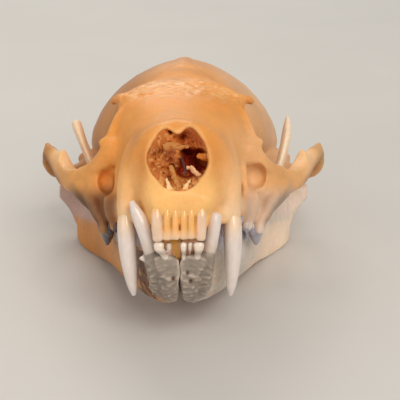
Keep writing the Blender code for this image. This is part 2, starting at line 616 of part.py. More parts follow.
def main():
    for old in list(bpy.data.objects):
        bpy.data.objects.remove(old)
    bpy.context.scene.collection.children.link(bpy.data.collections.new("mink_skull"))
    build_cranium()
    for name, side in (("left", 1), ("right", -1)):
        build_jaw("mandible_" + name, side)
        shift, lean = UPPER_SET[name]
        build_canine("upper_canine_" + name, canine(UPPER_CANINE, shift, lean), side)
        blunt = 0.75 if name == "left" else 0.5
        build_canine("lower_canine_" + name, canine(LOWER_CANINE[name], blunt=blunt), side)


main()
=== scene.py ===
import math
import bpy
import numpy as np
from mathutils import Matrix, Vector


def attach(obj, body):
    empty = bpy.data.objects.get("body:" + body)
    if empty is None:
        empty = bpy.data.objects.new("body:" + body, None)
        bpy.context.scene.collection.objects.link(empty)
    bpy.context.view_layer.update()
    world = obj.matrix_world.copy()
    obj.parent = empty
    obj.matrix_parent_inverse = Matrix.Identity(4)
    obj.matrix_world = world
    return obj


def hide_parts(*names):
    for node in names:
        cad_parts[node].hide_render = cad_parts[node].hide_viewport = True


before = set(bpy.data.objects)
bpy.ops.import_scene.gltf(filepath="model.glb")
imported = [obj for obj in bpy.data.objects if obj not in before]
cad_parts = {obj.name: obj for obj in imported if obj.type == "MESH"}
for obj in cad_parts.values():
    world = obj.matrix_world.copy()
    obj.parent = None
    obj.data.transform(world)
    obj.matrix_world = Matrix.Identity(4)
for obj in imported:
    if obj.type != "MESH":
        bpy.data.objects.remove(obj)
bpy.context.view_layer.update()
print("frame loaded:", sorted(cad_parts))

# Shapes are worked out in the skull's own frame, in millimetres: x to the side, y back from the
# front teeth, z up from the palate. rest brings them to the table, in metres.
skull = {
    "pitch": 16.0,  # degrees, nose up
    "middle": 32.25,
    "tableLevel": -16.75,
    "ease": 0.0003,  # metres: heights of this order ease off towards the table
}
sides = (("left", 1), ("right", -1))  # of the animal: x is above 0 on its left
tip = math.radians(skull["pitch"])
restTurn = np.array([
    [1, 0, 0],
    [0, math.cos(tip), math.sin(tip)],
    [0, -math.sin(tip), math.cos(tip)],
])
restShift = np.array([0, -skull["middle"], -skull["tableLevel"]])


def rest(points):
    # turned nose up, moved over the origin and onto the table, then millimetres to metres
    return (np.asarray(points) @ restTurn.T + restShift) * 0.001


def through(knots, values, at):
    # cubic pieces through the values, each slope taken from the neighbours
    knots = np.asarray(knots, float)
    values = np.asarray(values, float).reshape(len(knots), -1)
    slopes = np.gradient(values, knots, axis=0)
    place = np.clip(np.searchsorted(knots, at, side="right") - 1, 0, len(knots) - 2)
    step = (knots[place + 1] - knots[place])[:, None]
    t = (np.asarray(at) - knots[place])[:, None] / step
    rise = (1 + 2 * t) * (1 - t) ** 2 * values[place] + t * t * (3 - 2 * t) * values[place + 1]
    return rise + step * t * (1 - t) * ((1 - t) * slopes[place] - t * slopes[place + 1])


def power(value, exponent):
    # the value's size raised to the exponent, its sign kept
    return np.sign(value) * np.abs(value) ** exponent


def skinned(rings):
    # closed surface over rings of points, with a fan of triangles to the middle of each end
    count, around = rings.shape[:2]
    points = np.vstack([rings.reshape(-1, 3), rings[0].mean(0), rings[-1].mean(0)])
    step = np.arange(around)
    after = (step + 1) % around
    low = np.arange(count - 1)[:, None] * around
    quads = np.stack([low + step, low + after, low + around + after, low + around + step], -1)
    top = (count - 1) * around
    foot = np.stack([np.full(around, count * around), after, step], -1)
    head = np.stack([np.full(around, count * around + 1), top + step, top + after], -1)
    return points, quads.reshape(-1, 4), np.vstack([foot, head])


def bar(stations, aim, steps=30, around=28, blunt=0.35, square=2.0):
    # superellipse section, half width along aim and across it, carried along a smooth path
    stations = np.asarray(stations, float)
    length = np.r_[0, np.cumsum(np.linalg.norm(np.diff(stations[:, :3], axis=0), axis=1))]
    share = np.linspace(0, 1, steps)
    at = length[-1] * (1 - np.cos(math.pi * share)) / 2
    line = through(length, stations, at)
    along = np.gradient(line[:, :3], axis=0)
    along /= np.linalg.norm(along, axis=1, keepdims=True)
    aim = np.asarray(aim, float)
    wide = aim - (along @ aim)[:, None] * along
    wide /= np.linalg.norm(wide, axis=1, keepdims=True)
    deep = np.cross(along, wide)
    nearEnd = np.minimum(share, 1 - share) * steps / 3.0
    ends = blunt + (1 - blunt) * np.sqrt(np.clip(1 - (1 - np.clip(nearEnd, 0, 1)) ** 2, 0, 1))
    turn = np.linspace(0, 2 * math.pi, around, endpoint=False)[None, :, None]
    across = power(np.cos(turn), 2 / square) * (wide * (line[:, 3] * ends)[:, None])[:, None]
    upright = power(np.sin(turn), 2 / square) * (deep * (line[:, 4] * ends)[:, None])[:, None]
    return skinned(line[:, None, :3] + across + upright)


def egg(centre, radii, tilt=0.0, around=48, steps=28):
    # sphere stretched to three radii and tilted about x, in degrees
    rise = np.linspace(-math.pi / 2, math.pi / 2, steps + 2)[1:-1]
    turn = np.linspace(0, 2 * math.pi, around, endpoint=False)
    ring = np.stack([
        np.cos(rise)[:, None] * np.cos(turn),
        np.cos(rise)[:, None] * np.sin(turn),
        np.repeat(np.sin(rise)[:, None], around, 1),
    ], -1) * radii
    slant = math.radians(tilt)
    y, z = ring[..., 1].copy(), ring[..., 2].copy()
    ring[..., 1] = y * math.cos(slant) - z * math.sin(slant)
    ring[..., 2] = y * math.sin(slant) + z * math.cos(slant)
    return skinned(ring + centre)


def mirrored(shape):
    # x changes sign, and the corners of each face run the other way round, so it still faces outwards
    points, quads, tris = shape
    return points * (-1, 1, 1), quads[:, ::-1], tris[:, ::-1]


def sided(shape, sign):
    # a shape made for the animal's left, as it is or, where sign is -1, for its right
    return shape if sign > 0 else mirrored(shape)


def both(shapes):
    # the shapes on the left, then the same on the right
    return shapes + [mirrored(shape) for shape in shapes]


seedTable = np.random.default_rng(11).random((32, 32, 32))


def grain(points, size, shift=0.0):
    # smooth random field from -1 to 1 with lumps about size across: a lattice of random numbers,
    # blended between its eight corners
    place = np.asarray(points) / size + 7.3 + shift
    low = np.floor(place).astype(int)
    t = place - low
    t = t * t * (3 - 2 * t)
    total = 0
    for corner in ((0, 0, 0), (0, 0, 1), (0, 1, 0), (0, 1, 1), (1, 0, 0), (1, 0, 1), (1, 1, 0), (1, 1, 1)):
        at = (low + corner) % 32
        share = np.prod(np.where(corner, t, 1 - t), axis=-1)
        total = total + seedTable[at[..., 0], at[..., 1], at[..., 2]] * share
    return total * 2 - 1


def fade(value, low, high):
    # 0 below low, 1 above high, smooth between
    t = np.clip((value - low) / (high - low), 0, 1)
    return t * t * (3 - 2 * t)


def near(points, centre, reach):
    # 1 at the centre, falling to 0 like a bell; reach is one number or one for each axis
    gap = (points - np.asarray(centre)) / np.asarray(reach)
    return np.exp(-(gap * gap).sum(-1))


def linear(code):
    # sRGB hex to the linear values that shaders use
    value = np.array([int(code[i:i + 2], 16) for i in (1, 3, 5)]) / 255
    return np.where(value <= 0.04045, value / 12.92, ((value + 0.055) / 1.055) ** 2.4)


def newMesh(name, shapes):
    # one object from closed shapes, each given as points, quads and triangles
    counts = np.cumsum([0] + [len(shape[0]) for shape in shapes])
    faces = []
    for shape, first in zip(shapes, counts):
        faces += (shape[1] + first).tolist() + (shape[2] + first).tolist()
    mesh = bpy.data.meshes.new(name)
    mesh.from_pydata(np.vstack([shape[0] for shape in shapes]).tolist(), [], faces)
    piece = bpy.data.objects.new(name, mesh)
    bpy.context.scene.collection.objects.link(piece)
    return piece


def settled(piece):
    # keeps what the modifiers make as the piece's mesh and clears them
    graph = bpy.context.evaluated_depsgraph_get()
    old = piece.data
    piece.data = bpy.data.meshes.new_from_object(piece.evaluated_get(graph))
    piece.modifiers.clear()
    bpy.data.meshes.remove(old)


def melted(piece, voxel):
    # one closed skin round all that overlaps, found on a grid of voxels
    skin = piece.modifiers.new("skin", "REMESH")
    skin.mode = "VOXEL"
    skin.voxel_size = voxel
    settled(piece)


def carved(piece, shapes, voxel=0.2, operation="DIFFERENCE"):
    # cuts the shapes, melted into one, out of the piece, or with INTERSECT keeps what is in them
    tool = newMesh(piece.name + "Cutter", shapes)
    if voxel:
        melted(tool, voxel)
    cut = piece.modifiers.new("cut", "BOOLEAN")
    cut.operation = operation
    cut.object = tool
    cut.solver = "MANIFOLD"
    settled(piece)
    bpy.data.objects.remove(tool)


def thinned(piece, triangles):
    # joins triangles where the surface is flattest, down to the given number
    mesh = piece.data
    mesh.calc_loop_triangles()
    if len(mesh.loop_triangles) > triangles:
        thin = piece.modifiers.new("thin", "DECIMATE")
        thin.ratio = triangles / len(mesh.loop_triangles)
        settled(piece)


def pointsOf(piece):
    # the vertices as rows of x, y, z
    points = np.empty(len(piece.data.vertices) * 3)
    piece.data.vertices.foreach_get("co", points)
    return points.reshape(-1, 3)


def place(piece, points):
    # moves the vertices to these rows of x, y, z
    piece.data.vertices.foreach_set("co", points.ravel())
    piece.data.update()


def outward(piece):
    # unit normal at each vertex
    normals = np.empty(len(piece.data.vertices) * 3)
    piece.data.vertex_normals.foreach_get("vector", normals)
    return normals.reshape(-1, 3)


def neighbours(piece):
    # both ends of each edge, and how many edges meet at each vertex
    edges = np.empty(len(piece.data.edges) * 2, int)
    piece.data.edges.foreach_get("vertices", edges)
    edges = edges.reshape(-1, 2)
    return edges, np.maximum(np.bincount(edges.ravel(), minlength=len(piece.data.vertices)), 1)


def averaged(values, edges, degree, rounds):
    # each value drawn half way to the mean of its neighbours, again and again
    for _ in range(rounds):
        total = np.stack([
            np.bincount(edges[:, 0], values[edges[:, 1], k], len(values))
            + np.bincount(edges[:, 1], values[edges[:, 0], k], len(values))
            for k in range(values.shape[1])
        ], -1)
        values = 0.5 * values + 0.5 * total / degree[:, None]
    return values


def relaxed(piece, weight, rounds):
    # draws each point to its neighbours by a weight, a function of place from 0 to 1
    edges, degree = neighbours(piece)
    points = pointsOf(piece)
    share = weight(points)[:, None]
    for _ in range(rounds):
        points = points + share * (averaged(points, edges, degree, 1) - points)
    place(piece, points)


def hollows(piece, rounds=12):
    # how deep each point lies below the mean surface round it, in millimetres; ridges are negative
    edges, degree = neighbours(piece)
    points = pointsOf(piece)
    return ((averaged(points, edges, degree, rounds) - points) * outward(piece)).sum(-1)


def raised(piece, height):
    # moves each point along its normal by a height, a function of place
    points = pointsOf(piece)
    place(piece, points + outward(piece) * height(points)[:, None])


def tinted(piece, colours, name="tint"):
    # stores a linear colour for each point, which the material reads by this name
    layer = piece.data.color_attributes.new(name, "FLOAT_COLOR", "POINT")
    layer.data.foreach_set("color", np.c_[np.clip(colours, 0, 1), np.ones(len(colours))].ravel())


def plain(points, code):
    # one colour for all points
    return np.tile(linear(code), (len(points), 1))


def layered(colour, layers):
    # lays each layer's colour over the colours so far, by a share for each point
    for code, share in layers:
        colour = colour + (linear(code) - colour) * np.clip(share, 0, 1)[:, None]
    return colour


def finished(piece, material, slot, *nodes):
    # sets the piece on the table, gives it its finish and hides the CAD solids it stands for; heights
    # close to the table ease off: z becomes (z + sqrt(z z + ease ease)) / 2
    points = rest(pointsOf(piece))
    points[:, 2] = (points[:, 2] + np.sqrt(points[:, 2] ** 2 + skull["ease"] ** 2)) / 2
    place(piece, points)
    piece.data.materials.clear()
    piece.data.materials.append(material)
    piece.data.shade_smooth()
    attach(piece, "root")
    if nodes:
        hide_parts(*nodes)
    piece.data.calc_loop_triangles()
    print(piece.name, len(piece.data.loop_triangles), "triangles")


def add(tree, kind, settings=None, **fields):
    # adds a node; a setting that is (node, socket) is a link, any other is the socket's value
    node = tree.nodes.new("ShaderNode" + kind)
    for key, value in fields.items():
        setattr(node, key, value)
    for key, value in (settings or {}).items():
        sockets = [socket for socket in node.inputs if socket.enabled and socket.name == key]
        socket = node.inputs[key] if isinstance(key, int) else sockets[0]
        if isinstance(value, tuple) and isinstance(value[0], bpy.types.Node):
            outputs = [output for output in value[0].outputs if output.enabled and output.name == value[1]]
            tree.links.new(outputs[0], socket)
        else:
            socket.default_value = value
    return node


def newMaterial(name):
    # a material with an empty node tree
    material = bpy.data.materials.new(name)
    material.use_nodes = True
    material.node_tree.nodes.clear()
    return material, material.node_tree


def dryBone(name, look):
    # Dry cleaned bone, slightly greasy: a satin skin full of fine pores, warm where it is thin.
    material, tree = newMaterial(name)
    coords = add(tree, "TexCoord")
    tint = add(tree, "Attribute", attribute_name="tint")
    cloud = add(tree, "TexNoise", {"Vector": (coords, "Object"), "Scale": 1000 / look["cloudMm"],
                                   "Detail": 3.0, "Roughness": 0.55})
    fine = add(tree, "TexNoise", {"Vector": (coords, "Object"), "Scale": 1000 / look["fineMm"],
                                  "Detail": 4.0, "Roughness": 0.6})
    pores = add(tree, "TexVoronoi", {"Vector": (coords, "Object"), "Scale": 1000 / look["poreMm"]})
    cloudShare = add(tree, "MapRange", {"Value": (cloud, "Fac"), "From Min": 0.35, "From Max": 0.65,
                                        "To Min": 1 - look["cloud"], "To Max": 1 + look["cloud"]})
    fineShare = add(tree, "MapRange", {"Value": (fine, "Fac"), "From Min": 0.3, "From Max": 0.7,
                                       "To Min": 1 - look["fine"], "To Max": 1 + look["fine"]})
    shade = add(tree, "Math", {0: (cloudShare, "Result"), 1: (fineShare, "Result")}, operation="MULTIPLY")
    scaled = add(tree, "VectorMath", {0: (tint, "Color"), "Scale": (shade, "Value")}, operation="SCALE")
    poreDepth = add(tree, "MapRange", {"Value": (pores, "Distance"), "From Max": 0.35})
    relief = add(tree, "Math", {0: (fine, "Fac"), 1: (poreDepth, "Result")}, operation="ADD")
    worn = add(tree, "MapRange", {"Value": (cloud, "Fac"), "From Min": 0.3, "From Max": 0.7,
                                  "To Min": look["rough"] - 0.07, "To Max": look["rough"] + 0.09})
    colour, rough = (scaled, "Vector"), (worn, "Result")
    if "foldMm" in look:
        # glossier folds that run from side to side, whitened along their lines as a painted highlight, only
        # where the point attribute band is set
        band = add(tree, "Attribute", attribute_name="band")
        flat = add(tree, "Mapping", {"Vector": (coords, "Object"), "Scale": (0.3, 1.0, 1.0)})
        fold = add(tree, "TexNoise", {"Vector": (flat, "Vector"), "Scale": 1000 / look["foldMm"],
                                      "Detail": 2.0, "Distortion": 0.6})
        offMiddle = add(tree, "Math", {0: (fold, "Fac"), 1: 0.5}, operation="SUBTRACT")
        off = add(tree, "Math", {0: (offMiddle, "Value")}, operation="ABSOLUTE")
        line = add(tree, "MapRange", {"Value": (off, "Value"), "From Max": 0.07,
                                      "To Min": 1.0, "To Max": 0.0})
        share = add(tree, "Math", {0: (line, "Result"), 1: (band, "Fac")}, operation="MULTIPLY")
        highlightShare = add(tree, "Math", {0: (share, "Value"), 1: look["foldHighlightShare"]}, operation="MULTIPLY")
        mixed = add(tree, "Mix", {"Factor": (highlightShare, "Value"), "A": colour,
                                  "B": (*linear(look["foldHighlightCode"]), 1)}, data_type="RGBA")
        relief = add(tree, "Math", {0: (share, "Value"), 1: look["foldHeight"], 2: (relief, "Value")},
                     operation="MULTIPLY_ADD")
        glossy = add(tree, "Math", {0: (band, "Fac"), 1: -look["foldGloss"], 2: rough},
                     operation="MULTIPLY_ADD")
        colour, rough = (mixed, "Result"), (glossy, "Value")
    bump = add(tree, "Bump", {"Height": (relief, "Value"), "Strength": look["bump"],
                              "Distance": 0.001 * look["bumpMm"]})
    shader = add(tree, "BsdfPrincipled", {
        "Base Color": colour, "Roughness": rough, "IOR": 1.5, "Specular IOR Level": 0.4,
        "Normal": (bump, "Normal"), "Subsurface Weight": look["glow"],
        "Subsurface Radius": (1.0, 0.45, 0.2), "Subsurface Scale": 0.001 * look["glowMm"],
    })
    add(tree, "OutputMaterial", {"Surface": (shader, "BSDF")})
    return material


def toothEnamel(name, look):
    # Tooth enamel, naturally glazed: glossy, milky and a little see-through, with faint long cracks.
    material, tree = newMaterial(name)
    coords = add(tree, "TexCoord")
    tint = add(tree, "Attribute", attribute_name="tint")
    stretch = add(tree, "Mapping", {"Vector": (coords, "Object"), "Scale": (1.0, 1.0, 0.22)})
    streak = add(tree, "TexNoise", {"Vector": (stretch, "Vector"), "Scale": 1000 / look["streakMm"],
                                    "Detail": 3.0})
    cloud = add(tree, "TexNoise", {"Vector": (coords, "Object"), "Scale": 1000 / look["cloudMm"],
                                   "Detail": 2.0})
    streakShare = add(tree, "MapRange", {"Value": (streak, "Fac"), "From Min": 0.35, "From Max": 0.65,
                                         "To Min": 0.955, "To Max": 1.03})
    cloudShare = add(tree, "MapRange", {"Value": (cloud, "Fac"), "From Min": 0.35, "From Max": 0.65,
                                        "To Min": 0.97, "To Max": 1.03})
    shade = add(tree, "Math", {0: (streakShare, "Result"), 1: (cloudShare, "Result")}, operation="MULTIPLY")
    colour = add(tree, "VectorMath", {0: (tint, "Color"), "Scale": (shade, "Value")}, operation="SCALE")
    bump = add(tree, "Bump", {"Height": (streak, "Fac"), "Strength": look["bump"],
                              "Distance": 0.001 * look["bumpMm"]})
    shader = add(tree, "BsdfPrincipled", {
        "Base Color": (colour, "Vector"), "Roughness": look["rough"], "IOR": 1.6,
        "Normal": (bump, "Normal"), "Subsurface Weight": look["glow"],
        "Subsurface Radius": (1.0, 0.75, 0.5), "Subsurface Scale": 0.001 * look["glowMm"],
        "Coat Weight": 0.35, "Coat Roughness": 0.08,
    })
    add(tree, "OutputMaterial", {"Surface": (shader, "BSDF")})
    return material


# sizes of the patterns in millimetres, and how strong each one is
boneLook = {"cloudMm": 5.0, "fineMm": 0.55, "poreMm": 0.8, "cloud": 0.075, "fine": 0.035, "bump": 0.22,
            "bumpMm": 0.12, "rough": 0.46, "glow": 0.28, "glowMm": 1.1}
# the brow's folds: relief, gloss, and a whitening that is a painted highlight
browFolds = {"foldMm": 0.55, "foldHighlightCode": "#FFDCA8", "foldHighlightShare": 0.42, "foldHeight": 2.5, "foldGloss": 0.16}
craniumBone = dryBone("craniumDryBone", {**boneLook, **browFolds})
archBone = dryBone("cheekArchDryBone", {**boneLook, "cloud": 0.07})
jawBone = dryBone("jawDryBone", {**boneLook, "cloudMm": 4.0, "fine": 0.05, "bump": 0.4, "rough": 0.44})
noseBone = dryBone("noseSpongyBone", {**boneLook, "fineMm": 0.3, "cloud": 0.12, "fine": 0.12, "bump": 0.8,
                                      "rough": 0.55, "glow": 0.1})
enamel = toothEnamel("toothEnamel", {"streakMm": 0.5, "cloudMm": 1.4, "bump": 0.12, "bumpMm": 0.1,
                                     "rough": 0.2, "glow": 0.22, "glowMm": 0.8})
print("materials ready")

cranium = {
    # y, half width, height of the widest point, top, bottom, roundness above and below it
    "sections": np.array([
        (0.4, 3.1, 1.3, 2.3, -0.5, 2.2, 2.4), (1.8, 4.1, 1.7, 4.0, -0.7, 2.2, 2.5),
        (3.3, 5.1, 2.4, 6.9, -0.5, 2.3, 2.6), (5.0, 6.2, 3.0, 9.7, -0.2, 2.3, 2.7),
        (8.0, 6.8, 3.6, 10.5, 0.2, 2.2, 2.8), (12.0, 7.1, 4.6, 11.7, 0.4, 2.2, 2.8),
        (15.5, 8.1, 7.2, 13.0, 0.5, 2.3, 2.5), (19.0, 8.2, 9.8, 14.5, 0.7, 2.4, 2.3),
        (22.3, 8.0, 11.8, 15.6, 1.0, 2.4, 2.1), (25.5, 6.7, 11.6, 16.3, 1.6, 2.2, 2.1),
        (29.0, 6.2, 11.0, 16.9, 2.6, 2.1, 2.1), (32.5, 7.6, 10.2, 17.5, 3.2, 1.95, 2.0),
        (37.0, 10.6, 9.0, 18.3, 3.0, 1.8, 2.0), (42.0, 12.95, 7.8, 19.0, 2.2, 1.72, 2.1),
        (48.0, 14.05, 7.0, 19.55, 1.6, 1.7, 2.2), (54.0, 13.75, 6.9, 19.5, 1.6, 1.72, 2.3),
        (58.5, 12.5, 7.0, 18.9, 1.9, 1.8, 2.3), (61.6, 10.9, 7.4, 17.6, 2.5, 1.9, 2.2),
        (63.3, 8.2, 8.0, 14.6, 3.4, 2.0, 2.1),
    ]),
    "voxel": 0.21,
    "triangles": 172000,
    "orbit": ((13.7, 22.6, 8.8), (6.3, 5.8, 4.9)),
    "cheekHoles": {"left": ((9.25, 14.5, 3.35), (1.25, 2.0, 1.5)),
                   "right": ((9.25, 14.5, 2.7), (1.1, 2.05, 1.55))},
    # rim of the heart-shaped nose opening, as x and z: from its foot up the left side, past the notch
    # and down the right side
    "noseRim": [(-0.1, 2.56), (0.86, 2.63), (1.78, 3.16), (2.28, 3.84), (2.78, 4.42), (3.16, 5.3),
                (3.14, 6.46), (2.79, 7.58), (2.28, 8.47), (1.78, 9.2), (1.14, 9.56), (0.48, 9.34),
                (0.0, 8.82), (-0.42, 8.76), (-0.9, 9.16), (-1.62, 9.42), (-2.36, 9.0), (-2.89, 8.15),
                (-3.36, 7.25), (-3.66, 6.4), (-3.58, 5.36), (-3.22, 4.52), (-2.8, 3.98), (-2.3, 3.5),
                (-1.8, 2.99), (-1.05, 2.66)],
    "noseMiddle": (0, 6.2),
    "noseDepth": 13.0,
    "lip": {"radius": 0.42, "back": 0.24, "grow": 1.06},  # rounded rim of the nose opening
    "axis": 8.0,  # z of the line that ridges stand away from
    "brow": {"y": 20.3, "reach": 3.8, "bend": 0.05, "z": (11.8, 13.6)},  # arc of folded bone
    "relief": {"folds": 0.2, "valley": 0.4, "temple": 0.06},
    "rounds": {"skin": 8, "roots": 60},  # of smoothing
    # centre and reach, on the left, of the places where bars of bone grow out of the body
    "roots": [((4.9, 8.5, 7.5), (2.2, 3, 2.5)), ((7.2, 14.0, 6.4), (1.2, 2.5, 1.8)),
              ((7.0, 8.5, 1.0), (1.0, 4.0, 1.5)), ((6.0, 20.5, 12.5), (1.8, 2.5, 2.0)),
              ((4.4, 5.0, -0.3), (1.5, 2.0, 0.9)), ((1.6, 1.2, 0.7), (2.2, 1.6, 0.75)),
              ((5.0, 27.5, 15.0), (3.2, 5.0, 3.0)), ((8.9, 15.8, 7.9), (1.0, 1.2, 0.7))],
    "lumps": ((0.09, 5.0, 1.7), (0.03, 1.7, 6.2), (0.016, 0.55, 5.3)),  # height, size and shift of grain
    # colours of the canine's column, the pocket below the eye (painted light on its floor) and the collar
    # round the canine, and how dark the painted shade in the valley beside the nose and in the pocket's
    # crease is
    "looks": {"left": ("#F3C598", "#FFC888", "#F6D8B4", 0.55, 0.3),
              "right": ("#E0AC74", "#FFA850", "#F0C798", 0.75, 0.8)},
}


def craniumSkin(y, turn):
    # superellipse section at place y, turn is the angle up from the side
    rows = cranium["sections"]
    y, turn = np.broadcast_arrays(np.asarray(y, float), np.asarray(turn, float))
    at, half, middle, top, bottom, upper, lower = [
        part.reshape(y.shape) for part in through(rows[:, 0], rows, y.ravel()).T
    ]
    above = np.sin(turn) > 0
    shape = np.where(above, upper, lower)
    x = half * power(np.cos(turn), 2 / shape)
    z = middle + np.where(above, top - middle, middle - bottom) * power(np.sin(turn), 2 / shape)
    return np.stack([x, y, z], -1)


def onSkin(places, turns, halfHeight, halfWidth, lift=0.0, aim=(0, 0, 1)):
    # low ridge that follows the cranium past the given places and turns, in degrees
    knots = np.arange(len(places))
    at = np.linspace(0, knots[-1], 6 * len(places))
    y = through(knots, places, at)[:, 0]
    turn = np.radians(through(knots, turns, at)[:, 0])
    path = craniumSkin(y, turn)
    out = path - np.stack([0 * y, y, np.full_like(y, cranium["axis"])], -1)
    path = path + lift * out / np.linalg.norm(out, axis=1, keepdims=True)
    size = np.ones(len(y))
    return bar(np.c_[path, size * halfHeight, size * halfWidth], aim, steps=60, around=20)


def craniumBody(steps=200, around=150):
    # the sections from the front teeth to the nape, closed at both ends
    rows = cranium["sections"]
    y = np.linspace(rows[0, 0], rows[-1, 0], steps)
    turn = np.linspace(0, 2 * math.pi, around, endpoint=False)
    return skinned(craniumSkin(y[:, None], turn[None])[:, ::-1])


def noseFront(x, z):
    # place y where the muzzle's surface passes this x and z
    y = np.linspace(0.5, 16, 400)
    rows = cranium["sections"]
    at, half, middle, top, bottom, upper, lower = through(rows[:, 0], rows, y).T
    reach = np.where(z[:, None] > middle, top - middle, middle - bottom)
    shape = np.where(z[:, None] > middle, upper, lower)
    inside = np.abs(x[:, None] / half) ** shape + np.abs((z[:, None] - middle) / reach) ** shape < 1
    return y[np.argmax(inside, axis=1)]


def noseRim(count, grow=1.0):
    # closed outline of the nose opening, as x and z, grown about its middle
    rim = np.array(cranium["noseRim"] + cranium["noseRim"][:1])
    flat = through(np.arange(len(rim)), rim, np.linspace(0, len(rim) - 1, 2 * count + 1))[:-1]
    middle = np.array(cranium["noseMiddle"])
    return middle + (flat - middle) * grow


def noseCutter():
    # the outline carried back from before the muzzle, narrowing to half its width at the end
    flat = noseRim(40)
    middle = np.array(cranium["noseMiddle"])
    depths = ((-2.0, 1.04), (3.0, 1.0), (cranium["noseDepth"] * 0.75, 0.96), (cranium["noseDepth"], 0.5))
    rings = [np.insert(middle + (flat - middle) * share, 1, depth, axis=1) for depth, share in depths]
    return skinned(np.array(rings)[:, ::-1])


def noseLip():
    # rounded lip: a circle carried round the rim of the nose opening, closed on itself
    lip = cranium["lip"]
    rim = noseRim(44, lip["grow"])
    path = np.c_[rim[:, 0], noseFront(*rim.T) + lip["back"], rim[:, 1]]
    turn = np.linspace(0, 2 * math.pi, 16, endpoint=False)[None, :, None]
    out = rim - cranium["noseMiddle"]
    out = np.insert(out / np.linalg.norm(out, axis=1, keepdims=True), 1, 0, axis=1)
    circle = np.cos(turn) * out[:, None] + np.sin(turn) * np.array([0, -1.0, 0])
    ring = path[:, None] + lip["radius"] * circle
    count, around = ring.shape[:2]
    low = np.arange(count)[:, None] * around
    high = (np.arange(count)[:, None] + 1) % count * around
    step = np.arange(around)
    after = (step + 1) % around
    quads = np.stack([low + step, high + step, high + after, low + after], -1).reshape(-1, 4)
    return ring.reshape(-1, 3), quads, np.zeros((0, 3), int)


arch = {
    # x, y, z, half height and half width, from the muzzle out and back to the braincase
    "path": [(9.6, 16.4, 1.8, 1.5, 1.0), (12.6, 19.0, 2.2, 1.6, 1.0), (13.6, 21.0, 2.6, 1.7, 1.0),
             (15.0, 24.2, 3.5, 2.0, 1.0), (16.3, 27.6, 4.3, 1.75, 0.95), (17.4, 31.0, 5.0, 1.4, 0.9),
             (18.4, 33.6, 5.7, 1.1, 0.85), (18.95, 35.2, 5.9, 0.95, 0.72), (19.25, 36.2, 5.3, 1.0, 0.6),
             (19.35, 37.3, 4.5, 1.0, 0.6), (19.1, 38.6, 3.6, 0.95, 0.65), (18.6, 39.9, 2.9, 0.9, 0.7),
             (17.7, 41.1, 2.6, 0.85, 0.8), (16.3, 42.0, 2.8, 0.9, 1.1), (14.8, 42.7, 3.3, 1.1, 1.5),
             (13.2, 43.2, 3.9, 1.7, 2.0), (10.8, 43.8, 4.5, 2.0, 2.4)],
    # the two sutures: y and z of a point on each, and its slant off upright in degrees
    "sutures": ((21.8, 2.9, 32), (37.0, 4.8, -38)),
    "seam": 0.07,  # width of the suture line
    # the block between the sutures: x of its inner edge at each, x of its outer side, its lowest and
    # highest z
    "block": {"inner": (11.6, 15.2), "outer": 26.0, "low": -1.0, "high": 9.0},
}


def canineRoot(name):
    # column of bone over the upper canine's root: it closes flush on the tooth and fades into the muzzle
    shift = {"left": -0.25, "right": 0.0}[name]
    rows = np.array([(6.2, 5.35, -1.7, 0.98, 1.46), (6.2, 5.45, -0.8, 1.08, 1.62),
                     (6.17, 5.55, 0.6, 1.2, 1.8), (6.1, 5.9, 2.4, 1.25, 1.85), (5.8, 7.0, 5.2, 1.15, 1.6),
                     (5.3, 8.6, 7.4, 0.95, 1.1), (4.4, 10.4, 8.6, 0.7, 0.6)])
    rows[:, 0] += shift * (1 - fade(rows[:, 2], 3.0, 8.0))
    return bar(rows, (1, 0, 0), steps=60)


